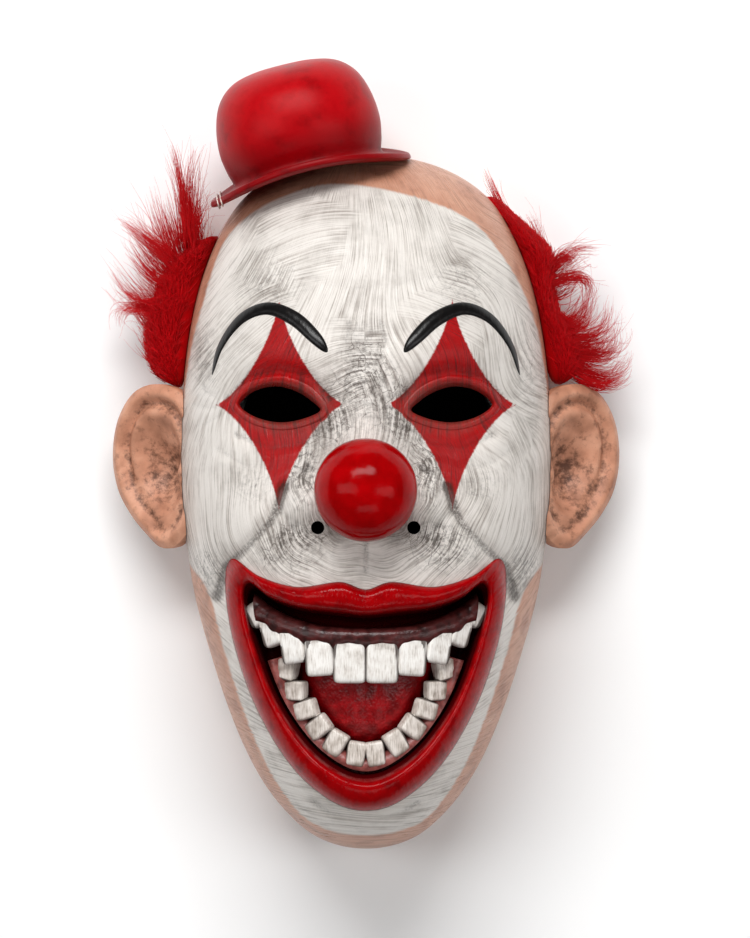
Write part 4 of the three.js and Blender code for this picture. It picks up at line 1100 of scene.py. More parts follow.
# %% [markdown]
# ## The ball nose
#
# The nose is a thin hollow ball, lacquered after moulding, and it sits on the face with an even
# seam. It is a sphere with its hollow taken away and then the space of the face, moved out by
# the seam, so that it meets the nose wings all round.

# %% The nose
NOSE_RADIUS = 22.5
NOSE_WALL = 2
NOSE_SINK = 14
SEAT_GAP = 0.3
FACE_AT_NOSE = float(face(np.array(0.0), np.array(NOSE_UP), fine=False))
NOSE_MIDDLE = np.array([0, NOSE_UP, FACE_AT_NOSE + NOSE_RADIUS - NOSE_SINK])


def ball(radius, rows, columns):
    """Loops of a sphere: radius times the sine of the climb outwards, times the cosine up."""
    climb = (np.arange(rows) + 1) / (rows + 1) * np.pi
    turn = np.arange(columns) / columns * 2 * np.pi
    x = radius * np.sin(climb)[:, None] * np.cos(turn)
    y = radius * np.sin(climb)[:, None] * np.sin(turn)
    z = radius * np.cos(climb)[:, None] + 0 * turn
    return np.stack([x, y, z], axis=-1)


seat = make_object("seat_tool", face_solid(SEAT_GAP, -WALL, 150, 280, fine=False))
nose = make_object("nose_ball_lacquered", skin(ball(NOSE_RADIUS, 90, 160) + NOSE_MIDDLE))
hollow_ball = ball(NOSE_RADIUS - NOSE_WALL, 40, 70)
hollow_tool = make_object("hollow_tool", skin(hollow_ball + NOSE_MIDDLE))
cut(nose, [seat, hollow_tool])
bpy.data.objects.remove(hollow_tool)
print("nose corners", len(nose.data.vertices))

# %% [markdown]
# ## Lacquer on the ball
#
# The ball was dipped in clear red lacquer. That gives a smooth deep red with small bright
# reflections, a very slight waviness where the lacquer ran, and a few specks of dust in it.

# %% Red lacquer
nose_paint, tree, shader = start_material(
    "lacquered_red_vinyl", IOR=1.45, Specular_IOR_Level=0.1,
)
place = add(tree, "TexCoord").outputs["Object"]
clouds = add(tree, "TexNoise", {"Vector": place, "Scale": sized(9), "Detail": 4.0}).outputs[0]
dust = add(tree, "TexNoise", {"Vector": place, "Scale": sized(0.8), "Detail": 4.0,
                              "Roughness": 0.75}).outputs[0]
red = add(tree, "ValToRGB", {0: clouds}, [
    (0.3, "#8a0002"), (0.48, "#980003"), (0.66, "#a40004"),
]).outputs[0]
specks = add(tree, "MapRange", {"Value": dust, "From Min": 0.62, "From Max": 0.72,
                                "To Max": 0.25}).outputs[0]
red = add(tree, "Mix", {0: specks, 6: red, 7: linear("#4a0002")}, data_type="RGBA").outputs[2]
tree.links.new(red, shader.inputs["Base Color"])
gloss = add(tree, "MapRange", {"Value": clouds, "From Min": 0.3, "From Max": 0.7,
                               "To Min": 0.1, "To Max": 0.17}).outputs[0]
tree.links.new(gloss, shader.inputs["Roughness"])
waves = add(tree, "TexNoise", {"Vector": place, "Scale": sized(7), "Detail": 2.0}).outputs[0]
rough = add(tree, "Bump", {"Height": waves, "Strength": 0.3, "Distance": 0.0012}).outputs[0]
rough = add(tree, "Bump", {"Height": dust, "Strength": 0.12, "Distance": 0.0002,
                           "Normal": rough}).outputs[0]
tree.links.new(rough, shader.inputs["Normal"])
dress(nose, "red_paint", nose_paint, replaces=["nose_ball"])

# %% [markdown]
# ## Teeth
#
# Each tooth is a rounded block, a sphere pressed towards a box: every coordinate of the sphere is
# raised to a power below one. It narrows towards its root and its front has faint upright ribs.
# The teeth stand along the face's own curve, and one plug trims both rows to the mouth.

# %% Where the teeth stand
TOOTH_THICKNESS = 7
TOOTH_POWERS = (0.28, 0.32, 0.55)
GUM_RADIUS = 4.2
GUM_RISE = 0.4
UPPER_GUM_DROOP = 1.6
LOWER_GUM_DROOP = 1.0
TEETH_REACH = 1.068
LOWER_TEETH_INSET = 1.25
UPPER_TEETH_SINK = 0.36
LOWER_TEETH_SINK = 0.5
UPPER_TEETH_FILL = 1.09
LOWER_TEETH_FILL = 0.94
UPPER_TEETH = np.array([
    # side, down, width, height, turn in degrees
    (0.113, 0.345, 0.218, 0.198, 0),
    (0.323, 0.325, 0.195, 0.178, 4),
    (0.508, 0.283, 0.172, 0.16, 10),
    (0.66, 0.222, 0.15, 0.135, 18),
    (0.768, 0.152, 0.118, 0.108, 28),
])
LOWER_TEETH = np.array([
    # share of the way round the mouth, width, height
    (0.477, 0.15, 0.112),
    (0.431, 0.15, 0.112),
    (0.396, 0.15, 0.11),
    (0.368, 0.15, 0.106),
    (0.342, 0.145, 0.1),
    (0.317, 0.135, 0.094),
])


def upper_places():
    """Rows of x, y, turn, width and height in mm, from left to right."""
    side, down, wide, tall, turn = UPPER_TEETH.T
    right = np.stack([side * MOUTH_HALF_WIDTH, MOUTH_TOP - down * MOUTH_HEIGHT,
                      -np.radians(turn), wide * MOUTH_HALF_WIDTH, tall * MOUTH_HEIGHT], axis=-1)
    right[:, 3] *= UPPER_TEETH_FILL
    return np.concatenate([right[::-1] * (-1, 1, -1, 1, 1), right])


def lower_places():
    """The lower teeth stand on the mouth's inner edge and point away from it."""
    share, wide, tall = LOWER_TEETH.T
    root, _ = mouth_point(share, np.full(len(share), 1.0))
    middle, _ = mouth_point(share, np.full(len(share), LOWER_TEETH_INSET))
    turn = np.arctan2(root[:, 0] - middle[:, 0], middle[:, 1] - root[:, 1])
    right = np.stack([middle[:, 0], middle[:, 1], turn, wide * MOUTH_HALF_WIDTH,
                      tall * MOUTH_HEIGHT], axis=-1)
    places = np.concatenate([right[::-1] * (-1, 1, -1, 1, 1), right])
    # A tooth nearly fills its spacing, so that only a thin dark line parts it from the next.
    spacing = np.hypot(*np.diff(places[:, :2], axis=0).T)
    room = (np.append(spacing, spacing[-1]) + np.append(spacing[0], spacing)) / 2
    places[:, 3] = LOWER_TEETH_FILL * room
    return places


print(len(upper_places()), "upper teeth and", len(lower_places()), "lower teeth")

# %% One tooth
def tooth(place, sink, root_up):
    """A sphere with each coordinate raised to a power of its own, scaled, narrowed by a tenth
    towards its root, then turned in plan and leaned with the slope of the face."""
    x0, y0, turn, wide, tall = place
    sphere = ball(1, 34, 48)
    block = np.sign(sphere) * np.abs(sphere) ** TOOTH_POWERS
    across, up, out = block[..., 0], block[..., 1], block[..., 2]
    narrow = 1.03 - 0.05 * (1 + up * root_up)
    ribs = 1 + 0.03 * np.cos(across * 7) * (out > 0)
    px, py, pz = across * narrow * wide / 2, up * tall / 2, out * ribs * TOOTH_THICKNESS / 2
    rx = px * np.cos(turn) - py * np.sin(turn)
    ry = px * np.sin(turn) + py * np.cos(turn)
    at = np.array([x0 + 1, x0 - 1, x0])
    right, left, here = face(at, np.full(3, y0), fine=False)
    lean = np.arctan((right - left) / 2)
    x = x0 + rx * np.cos(lean) - pz * np.sin(lean)
    z = here - sink * MOUTH_DEPTH + rx * np.sin(lean) + pz * np.cos(lean)
    return skin(np.stack([x, y0 + ry, z], axis=-1))


def join(shapes):
    """Put several closed shapes into one list of corners and one of faces."""
    starts = np.cumsum([0] + [len(points) for points, _ in shapes[:-1]])
    faces = [[i + int(start) for i in one] for (_, some), start in zip(shapes, starts)
             for one in some]
    return np.concatenate([points for points, _ in shapes]), faces


print("one tooth has", len(tooth(upper_places()[0], UPPER_TEETH_SINK, 1)[0]), "corners")

# %% [markdown]
# ## Painted teeth and wet gums
#
# The teeth are vinyl too, painted ivory with a stiff brush and then wiped with a thin brown wash.
# The wash and painted shade darken the roots, and painted shade darkens both flanks, in the gaps,
# which is what parts one tooth from the next at a distance. Two stored maps say how near a place is
# to the root and to the tooth's flank. The gum is a tube along the roots with a glossy varnish on
# it.

# %% Tooth paint
def tooth_material(name, light, middle, dark):
    """Painted vinyl: three tones in short upright brush marks, a brown wash with painted shade
    towards the root and painted shade in a dark line down both flanks."""
    made, tree, shader = start_material(name, IOR=1.5, Specular_IOR_Level=0.4)
    place = add(tree, "TexCoord").outputs["Object"]
    # Bristle marks are half a millimetre apart and some five long.
    marks = add(tree, "Mapping", {"Vector": place, "Scale": (1, 0.12, 0.4)}).outputs[0]
    marks = add(tree, "TexNoise", {"Vector": marks, "Scale": sized(0.55), "Detail": 4.0}).outputs[0]
    clouds = add(tree, "TexNoise", {"Vector": place, "Scale": sized(5), "Detail": 4.0}).outputs[0]
    tone = add(tree, "Mix", {0: 0.45, 2: marks, 3: clouds}).outputs[0]
    tint = add(tree, "ValToRGB", {0: tone}, [(0.42, light), (0.56, middle), (0.7, dark)]).outputs[0]
    # A brown wash and painted shade towards the root.
    root = add(tree, "Attribute", attribute_name="rootward").outputs["Fac"]
    root = add(tree, "Math", {0: root, 1: clouds}, operation="ADD").outputs[0]
    root = add(tree, "MapRange", {"Value": root, "From Min": 0.9, "From Max": 1.6, "To Max": 0.8},
               interpolation_type="SMOOTHSTEP").outputs[0]
    tint = add(tree, "Mix", {0: root, 6: tint, 7: linear("#6e5d50")}, data_type="RGBA").outputs[2]
    # Painted shade in a dark line down both flanks, in the gaps between the teeth.
    flank_shade = add(tree, "Attribute", attribute_name="flank").outputs["Fac"]
    flank_shade = add(tree, "MapRange", {"Value": flank_shade, "From Min": 0.8, "From Max": 0.98, "To Max": 0.9},
              interpolation_type="SMOOTHSTEP").outputs[0]
    tint = add(tree, "Mix", {0: flank_shade, 6: tint, 7: linear("#3a2c25")}, data_type="RGBA").outputs[2]
    tree.links.new(tint, shader.inputs["Base Color"])
    gloss = add(tree, "MapRange", {"Value": tone, "From Min": 0.35, "From Max": 0.65,
                                   "To Min": 0.24, "To Max": 0.42}).outputs[0]
    tree.links.new(gloss, shader.inputs["Roughness"])
    rough = add(tree, "Bump", {"Height": tone, "Strength": 0.4, "Distance": 0.0005}).outputs[0]
    tree.links.new(rough, shader.inputs["Normal"])
    return made


white_tooth = tooth_material("painted_tooth_vinyl", "#f1eee9", "#dcd6cf", "#a79e96")
grey_tooth = tooth_material("washed_tooth_vinyl", "#dfd7cf", "#bdb3a9", "#85796e")
print("tooth paint nodes", len(white_tooth.node_tree.nodes))

# %% A row of teeth
mouth_plug = plug("teeth_plug", mouth_point(round_shares, np.full(OUTLINE_STEPS, TEETH_REACH))[0])


def tooth_row(name, places, sink, root_up, paint):
    """Every tooth of a row, trimmed to the mouth, with its rootward and flank maps."""
    shapes = [tooth(place, sink, root_up) for place in places]
    row = make_object(name, join(shapes), smooth_angle=60)
    x, y, z = corners(row)
    near = np.argmin(np.hypot(x[:, None] - places[:, 0], y[:, None] - places[:, 1]), axis=1)
    x0, y0, turn, wide, tall = places[near].T
    px = (x - x0) * np.cos(turn) + (y - y0) * np.sin(turn)
    py = (y - y0) * np.cos(turn) - (x - x0) * np.sin(turn)
    note(row, "rootward", root_up * py / (tall / 2))
    note(row, "flank", np.abs(px) / (wide / 2))
    dress(row, "tooth_paint", paint)
    return row


print("the plug for both rows has", len(mouth_plug.data.vertices), "corners")

# %% Gums
def gum_tube(name, places, sink, root_up, droop):
    """A round section carried along the roots. It is scalloped: it reaches further down each
    gap than over the middle of a tooth, by the droop times the cosine of the tooth's share."""
    x, y, turn, _, tall = places.T
    away = np.stack([-np.sin(turn), np.cos(turn)], axis=-1) * root_up
    roots = np.stack([x, y], axis=-1) + away * tall[:, None] / 2
    knots = np.arange(len(places))
    along = np.linspace(-0.45, len(places) - 0.55, 22 * len(places))
    inside = np.clip(along, 0, len(places) - 1)
    middle = through(knots, roots, inside)
    ahead = through(knots, roots, np.clip(inside + 0.02, 0, len(places) - 1))
    behind = through(knots, roots, np.clip(inside - 0.02, 0, len(places) - 1))
    run = ahead - behind
    run /= np.linalg.norm(run, axis=-1, keepdims=True)
    middle = middle + run * ((along - inside) * 8)[:, None]
    side_way = np.stack([run[:, 1], -run[:, 0]], axis=-1)
    toward = side_way * np.sign(np.sum(side_way * -through(knots, away, inside),
                                       axis=-1))[:, None]
    turn_round = np.arange(26) / 26 * 2 * np.pi
    scallop = droop * 0.5 * (1 - np.cos(2 * np.pi * (along - np.round(along))))
    reach = GUM_RADIUS + scallop[:, None] * (np.cos(turn_round) > 0)
    px = middle[:, :1] + toward[:, :1] * reach * np.cos(turn_round)
    py = middle[:, 1:] + toward[:, 1:] * reach * np.cos(turn_round)
    height = face(middle[:, 0], middle[:, 1], fine=False) - sink * MOUTH_DEPTH + GUM_RISE
    pz = height[:, None] + GUM_RADIUS * np.sin(turn_round)
    gum = make_object(name, skin(np.stack([px, py, pz], axis=-1)), smooth_angle=60)
    return cut(gum, [mouth_plug], "INTERSECT", smooth_angle=60)


print("a gum's section has a radius of", GUM_RADIUS, "mm")

# %% Wet gum
def gum_material(name, light, dark):
    """Wet gum: two colours that flow into each other, under a thick gloss."""
    made, tree, shader = start_material(name, IOR=1.45, Specular_IOR_Level=0.4)
    shader.inputs["Roughness"].default_value = 0.3
    place = add(tree, "TexCoord").outputs["Object"]
    clouds = add(tree, "TexNoise", {"Vector": place, "Scale": sized(4), "Detail": 4.0}).outputs[0]
    tint = add(tree, "ValToRGB", {0: clouds}, [(0.35, dark), (0.65, light)]).outputs[0]
    tree.links.new(tint, shader.inputs["Base Color"])
    rough = add(tree, "Bump", {"Height": clouds, "Strength": 0.5, "Distance": 0.001}).outputs[0]
    tree.links.new(rough, shader.inputs["Normal"])
    return made


dark_gum = gum_material("dark_wet_gum", "#53201f", "#2a0d0c")
pink_gum = gum_material("pink_wet_gum", "#94504a", "#5b2825")
print("gum paint nodes", len(pink_gum.node_tree.nodes))

# %% The two rows
upper = upper_places()
lower = lower_places()
upper_row = tooth_row("upper_teeth_row", upper, UPPER_TEETH_SINK, 1, white_tooth)
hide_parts("upper_teeth")
lower_row = tooth_row("lower_teeth_row", lower, LOWER_TEETH_SINK, -1, grey_tooth)
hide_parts("lower_teeth")
upper_gum = gum_tube("upper_gum", upper, UPPER_TEETH_SINK, 1, UPPER_GUM_DROOP)
dress(upper_gum, "tooth_paint", dark_gum)
lower_gum = gum_tube("lower_gum", lower, LOWER_TEETH_SINK, -1, LOWER_GUM_DROOP)
dress(lower_gum, "tooth_paint", pink_gum)
print(len(upper), "upper and", len(lower), "lower teeth")

# %% [markdown]
# ## The tongue
#
# The tongue is a low cushion of vinyl with a groove down its middle. Its outline is the mouth's
# own, drawn in, and its height is a rounded step: the root of 1 minus the cube of the share of
# the way out. A fine pebbled bump and a wet coat make it a tongue.

# %% The tongue
TONGUE_RISE = 12
TONGUE_EDGE = 1.3
TONGUE_GROOVE_WIDTH = 3.5
TONGUE_GROOVE_DEPTH = 2.5
TONGUE_COLUMNS = 150
TONGUE_TOP_ROWS = 54


def tongue_loops():
    """Rows go out over the top, round the edge and back under the bottom."""
    top_out = np.sin(np.linspace(0.02, 1, TONGUE_TOP_ROWS) * np.pi / 2)
    out = np.concatenate([top_out, [0.98, 0.75, 0.5, 0.25]])
    is_top = np.arange(len(out)) < TONGUE_TOP_ROWS
    share = np.arange(TONGUE_COLUMNS) / TONGUE_COLUMNS
    plan, _ = mouth_point(share[None, :], (2 + (TONGUE_EDGE - 2) * out)[:, None] + 0 * share)
    x, y = plan[..., 0], plan[..., 1]
    floor_height = face(x, y, fine=False) - MOUTH_DEPTH - WALL / 2
    groove = TONGUE_GROOVE_DEPTH * np.exp(-((x / TONGUE_GROOVE_WIDTH) ** 2)) * (1 - out[:, None])
    wave = 0.35 * np.sin(x / 5.3 + y / 7.1) * (1 - out[:, None] ** 4)
    top = TONGUE_RISE * np.sqrt(np.maximum(1 - out[:, None] ** 3, 0)) - groove + wave
    return np.stack([x, y, floor_height + np.where(is_top[:, None], top, 0)], axis=-1)


tongue = make_object("tongue_cushion", skin(tongue_loops()), smooth_angle=60)
print("tongue corners", len(tongue.data.vertices))

# %% [markdown]
# ## Wet vinyl
#
# The tongue was sprayed deep red in uneven passes and varnished. Under the varnish a pebbled
# texture from the mould breaks the gleam into small spots, as on a real tongue.

# %% Tongue paint
tongue_paint, tree, shader = start_material(
    "wet_tongue_vinyl", IOR=1.42, Specular_IOR_Level=0.3,
)
place = add(tree, "TexCoord").outputs["Object"]
clouds = add(tree, "TexNoise", {"Vector": place, "Scale": sized(7), "Detail": 5.0}).outputs[0]
pebbles = add(tree, "TexVoronoi", {"Vector": place, "Scale": sized(1.3)}).outputs[0]
red = add(tree, "ValToRGB", {0: clouds}, [
    (0.32, "#5a0206"), (0.48, "#7a0409"), (0.62, "#9a0c13"), (0.74, "#6c0409"),
]).outputs[0]
tree.links.new(red, shader.inputs["Base Color"])
shader.inputs["Roughness"].default_value = 0.3
rough = add(tree, "Bump", {"Height": clouds, "Strength": 0.5, "Distance": 0.0016}).outputs[0]
rough = add(tree, "Bump", {"Height": pebbles, "Strength": 0.35, "Distance": 0.0005,
                           "Normal": rough}).outputs[0]
tree.links.new(rough, shader.inputs["Normal"])
dress(tongue, "tongue_paint", tongue_paint, replaces=["tongue"])
bpy.data.objects.remove(mouth_plug)

# %% [markdown]
# ## Ears
#
# An ear is a thin leaf with a rolled rim, a second fold inside it and a deep bowl. All three are
# heights over the leaf that depend on the distance from its edge or from the bowl's middle. The
# left ear is the right one mirrored, with its faces turned again so that they still point out.

# %% Sizes of an ear
EAR_LENGTH = 74
EAR_REACH = 41
EAR_THICKNESS = 5
EAR_UP = 16
EAR_BACK_ANGLE = np.radians(36)
EAR_FRONT = 44
EAR_LOOP = [
    # out and up from the ear's root, as shares of its reach and its length
    (0.02, 0.43), (0.36, 0.5), (0.7, 0.45), (0.93, 0.28), (1.0, 0.06), (0.93, -0.14),
    (0.76, -0.29), (0.54, -0.41), (0.3, -0.5), (0.05, -0.46), (-0.2, -0.25), (-0.2, 0.2),
]
# The bowl's place out and up, its reach both ways and its depth, all as shares.
EAR_BOWL = (0.34, -0.04, 0.3, 0.2, -1.9)
# Distance from the edge in mm and rise as a share of the thickness.
EAR_RIM = (4.2, 0.75)
EAR_FOLD = (13, 0.55)
EAR_GROOVE = (8.5, -0.4)
EAR_FRONT_ROWS = 61
EAR_COLUMNS = 168
print("an ear is", EAR_LENGTH, "mm long and stands out", EAR_REACH, "mm")

# %% The surface of an ear, and where its wash and painted shade lie
def over_bowl(out, up):
    """Place over the bowl's middle out and up, as shares of the bowl's reach."""
    across = (out / EAR_REACH - EAR_BOWL[0]) / EAR_BOWL[2]
    return across, (up / EAR_LENGTH - EAR_BOWL[1]) / EAR_BOWL[3]


def ear_loops(side):
    """Rings from the bowl's middle out to the edge and back behind. The front's height is the
    thickness times a sum of bells: the bowl, the rolled rim, the fold inside it, the groove
    between them, a flap and a fork."""
    front_out = np.sin(np.linspace(0.03, 1, EAR_FRONT_ROWS + 1) * np.pi / 2) ** 0.8
    out_share = np.concatenate([front_out, [0.99, 0.96, 0.9, 0.8, 0.65, 0.45, 0.25]])
    is_front = (np.arange(len(out_share)) < EAR_FRONT_ROWS)[:, None]
    is_edge = (np.arange(len(out_share)) == EAR_FRONT_ROWS)[:, None]
    edge = round_trip(EAR_LOOP, np.arange(EAR_COLUMNS) / EAR_COLUMNS) * (EAR_REACH, EAR_LENGTH)
    middle = np.array(EAR_BOWL[:2]) * (EAR_REACH, EAR_LENGTH)
    place = middle + (edge - middle) * out_share[:, None, None]
    out, up = place[..., 0], place[..., 1]
    inset = np.hypot(*np.moveaxis(edge - place, -1, 0))
    across, along = over_bowl(out, up)
    bowl = EAR_BOWL[4] * np.exp(-across ** 2 - along ** 2)
    rim = EAR_RIM[1] * np.exp(-((inset - EAR_RIM[0]) / EAR_RIM[0]) ** 2)
    fold = EAR_FOLD[1] * np.exp(-((inset - EAR_FOLD[0]) / EAR_RIM[0]) ** 2)
    groove = EAR_GROOVE[1] * np.exp(-((inset - EAR_GROOVE[0]) / 2.2) ** 2)
    groove *= ease(-0.25, 0.1, up / EAR_LENGTH)
    # A small flap stands before the bowl, and a ridge forks up from its upper edge.
    beside = ((out / EAR_REACH - 0.05) / 0.1) ** 2
    flap = 0.7 * np.exp(-beside - ((up / EAR_LENGTH + 0.05) / 0.07) ** 2)
    fork = 0.35 * np.exp(-((across * 0.6 - along * 0.8 + 1.1) / 0.28) ** 2 - (inset / 24) ** -4)
    front = EAR_THICKNESS * (bowl + rim + fold + groove + flap + fork)
    back = EAR_THICKNESS * (bowl - 1)
    height = np.where(is_edge, -EAR_THICKNESS / 2, np.where(is_front, front, back))
    turned_x = out * np.cos(EAR_BACK_ANGLE) + height * np.sin(EAR_BACK_ANGLE)
    turned_z = height * np.cos(EAR_BACK_ANGLE) - out * np.sin(EAR_BACK_ANGLE)
    x = side * (turned_x + HALF_WIDTH - WALL)
    return np.stack([x, up + EAR_UP, turned_z + EAR_FRONT - WALL], axis=-1)


def ear_hollow(side, x, y, z):
    """Turn places back into the ear's own plane, then add a bell for the bowl and one for
    the groove behind the rim."""
    right = side * x - HALF_WIDTH + WALL
    ahead = z - EAR_FRONT + WALL
    out = right * np.cos(EAR_BACK_ANGLE) - ahead * np.sin(EAR_BACK_ANGLE)
    up = y - EAR_UP
    edge = round_trip(EAR_LOOP, np.arange(60) / 60) * (EAR_REACH, EAR_LENGTH)
    inset = to_path(out, up, np.concatenate([edge, edge[:1]]))
    across, along = over_bowl(out, up)
    behind_rim = np.exp(-((inset - EAR_GROOVE[0]) / 2.4) ** 2)
    return np.exp(-across ** 2 - along ** 2) ** 1.2 + 0.6 * behind_rim


print("rows and columns of an ear:", ear_loops(1).shape[:2])

# %% [markdown]
# ## Flesh paint with a brown wash and painted shade
#
# The ears are flesh coloured vinyl that was brushed with a thin brown wash and wiped off again.
# The wash, with painted shade, darkens the bowl and the groove behind the rim, in blotches a few
# millimetres wide. The vinyl itself is satin, from a mould that was blasted with fine grit.

# %% Ear paint
ear_paint, tree, shader = start_material("washed_and_shaded_flesh_vinyl", IOR=1.5, Specular_IOR_Level=0.25)
place = add(tree, "TexCoord").outputs["Object"]
clouds = add(tree, "TexNoise", {"Vector": place, "Scale": sized(12), "Detail": 4.0}).outputs[0]
grain = add(tree, "TexNoise", {"Vector": place, "Scale": sized(1.5), "Detail": 5.0,
                               "Roughness": 0.7}).outputs[0]
flesh = add(tree, "ValToRGB", {0: clouds}, [
    (0.3, "#a8745b"), (0.48, "#c68c70"), (0.62, "#d49c80"), (0.74, "#b98267"),
]).outputs[0]
mottle = add(tree, "TexNoise", {"Vector": place, "Scale": sized(4.5), "Detail": 6.0,
                                "Roughness": 0.7}).outputs[0]
mottle = add(tree, "MapRange", {"Value": mottle, "From Min": 0.35, "From Max": 0.65,
                                "To Min": -0.55, "To Max": 0.75}).outputs[0]
# The brown wash and painted shade, in the bowl and behind the rim.
wash_and_shade = add(tree, "Attribute", attribute_name="hollow").outputs["Fac"]
wash_and_shade = add(tree, "Math", {0: wash_and_shade, 1: mottle}, operation="ADD").outputs[0]
wash_and_shade = add(tree, "MapRange", {"Value": wash_and_shade, "From Min": 0.2, "From Max": 1.5, "To Max": 0.9},
           interpolation_type="SMOOTHSTEP").outputs[0]
flesh = add(tree, "Mix", {0: wash_and_shade, 6: flesh, 7: linear("#4a2c20")}, data_type="RGBA").outputs[2]
spots = add(tree, "MapRange", {"Value": grain, "From Min": 0.6, "From Max": 0.74,
                               "To Max": 0.45}).outputs[0]
flesh = add(tree, "Mix", {0: spots, 6: flesh, 7: linear("#8a5844")}, data_type="RGBA").outputs[2]
tree.links.new(flesh, shader.inputs["Base Color"])
gloss = add(tree, "MapRange", {"Value": grain, "From Min": 0.3, "From Max": 0.7,
                               "To Min": 0.38, "To Max": 0.55}).outputs[0]
tree.links.new(gloss, shader.inputs["Roughness"])
rough = add(tree, "Bump", {"Height": grain, "Strength": 0.35, "Distance": 0.0004}).outputs[0]
tree.links.new(rough, shader.inputs["Normal"])
print("ear paint nodes", len(tree.nodes))

# %% The two ears
for side, name in ((-1, "ear_left"), (1, "ear_right")):
    ear = make_object(name + "_moulded", skin(ear_loops(side)), smooth_angle=60)
    cut(ear, [seat], smooth_angle=60)
    note(ear, "hollow", ear_hollow(side, *corners(ear)))
    dress(ear, "flesh_paint", ear_paint, replaces=[name])
print("ear corners", len(ear.data.vertices))

# %% [markdown]
# ## The little bowler
#
# The hat is blow moulded: a round crown, a rolled brim and a thin even wall. Here it is a profile
# turned round an axis and then bent, because the brim droops far more at the sides than at the
# front. Its lower edge is trimmed to the crown of the mask, on which it sits, leaning left.

# %% Sizes of the hat
HAT_LEAN = np.radians(13.9)
HAT_NOD = np.radians(6)
HAT_X = -26.7
HAT_SINK = 1.2
HAT_FRONT = 49
CROWN_RADIUS = 37
CROWN_HEIGHT = 45.5
BRIM_RADIUS = 46
HAT_WALL = 2.2
BRIM_SIDE_DROOP = 10.5
BRIM_FRONT_DROOP = 1.5
HAT_OUTSIDE = np.array([
    # from the top down: share of the crown's radius, share of its height
    (0, 1), (0.35, 0.985), (0.64, 0.925), (0.85, 0.79), (0.965, 0.6), (1.0, 0.4),
    (0.965, 0.22), (0.925, 0.09),
])
HAT_BRIM = np.array([
    # over and back under the brim: share of its width, share of the crown's height
    (0.15, 0.05), (0.55, 0.045), (0.9, 0.085), (1.0, 0.075), (0.98, 0.03), (0.6, -0.01),
    (0.1, -0.01),
])
print("the hat's brim is", 2 * BRIM_RADIUS, "mm across")

# %% A lean, a nod and a profile
def stand_hat(x, y, z):
    """Turn places on the upright hat by its nod and its lean and move them to the crown."""
    nod_y = y * np.cos(HAT_NOD) - z * np.sin(HAT_NOD)
    nod_z = y * np.sin(HAT_NOD) + z * np.cos(HAT_NOD)
    lean_x = x * np.cos(HAT_LEAN) - nod_y * np.sin(HAT_LEAN)
    lean_y = x * np.sin(HAT_LEAN) + nod_y * np.cos(HAT_LEAN)
    angles = np.linspace(0, np.pi / 2, 400)
    wide = HALF_WIDTH * through(SECTION_ANGLES, SECTIONS[:, 1], angles)
    crown = HALF_HEIGHT * np.sin(angles[wide >= abs(HAT_X)].max())
    return np.stack([lean_x + HAT_X, lean_y + crown - HAT_SINK, nod_z + HAT_FRONT], axis=-1)


def hat_loops():
    """A profile turned round the hat's axis, lowered by the droop. The droop is the side
    droop times the square of the share out sideways, plus the same for the front, and it
    fades out on the way up the crown."""
    foot = HAT_OUTSIDE[-1, 0] * CROWN_RADIUS
    outside = HAT_OUTSIDE * (CROWN_RADIUS, CROWN_HEIGHT)
    brim = np.stack([foot + (BRIM_RADIUS - foot) * HAT_BRIM[:, 0],
                     HAT_BRIM[:, 1] * CROWN_HEIGHT], axis=-1)
    shrink = (CROWN_RADIUS - HAT_WALL) / CROWN_RADIUS
    inside = (outside * (shrink, 1) - (0, HAT_WALL))[::-1]
    profile = np.concatenate([outside, brim, inside])
    knots = np.arange(len(profile))
    radius, up = through(knots, profile, np.linspace(0.08, len(profile) - 1.08, 190)).T
    turn = np.arange(180) / 180 * 2 * np.pi
    x = np.maximum(radius, 0.01)[:, None] * np.sin(turn)
    z = np.maximum(radius, 0.01)[:, None] * np.cos(turn)
    hold = 1 - ease(0.1, 1, up / CROWN_HEIGHT)[:, None]
    droop = (BRIM_SIDE_DROOP * (x / BRIM_RADIUS) ** 2 + BRIM_FRONT_DROOP * (z / BRIM_RADIUS) ** 2)
    y = up[:, None] - droop * hold
    return stand_hat(x, y, z)


hat = make_object("hat_bowler", skin(hat_loops()), smooth_angle=50)
cut(hat, [seat], smooth_angle=50)
hat_x, hat_y, _ = corners(hat)
along_hat = (hat_y - hat_y.max()) * np.cos(HAT_LEAN) - (hat_x - HAT_X) * np.sin(HAT_LEAN)
note(hat, "near_brim", ease(-26, -46, along_hat))
print("hat corners", len(hat.data.vertices))

# %% [markdown]
# ## Satin red paint on the hat
#
# The hat was sprayed red. A thin spray dries satin, so its reflections are wide and soft. The red
# is darker in clouds towards the bottom of the hat, most of all low on the crown and on the brim.

# %% Hat paint
hat_paint, tree, shader = start_material(
    "satin_red_vinyl", IOR=1.45, Specular_IOR_Level=0.13,
)
place = add(tree, "TexCoord").outputs["Object"]
clouds = add(tree, "TexNoise", {"Vector": place, "Scale": sized(14), "Detail": 5.0,
                                "Roughness": 0.6}).outputs[0]
dust = add(tree, "TexNoise", {"Vector": place, "Scale": sized(0.8), "Detail": 4.0,
                              "Roughness": 0.75}).outputs[0]
red = add(tree, "ValToRGB", {0: clouds}, [
    (0.3, "#8c0006"), (0.42, "#a60009"), (0.56, "#b2020c"), (0.72, "#9c0007"),
]).outputs[0]
specks = add(tree, "MapRange", {"Value": dust, "From Min": 0.6, "From Max": 0.72,
                                "To Max": 0.5}).outputs[0]
red = add(tree, "Mix", {0: specks, 6: red, 7: linear("#5c0105")}, data_type="RGBA").outputs[2]
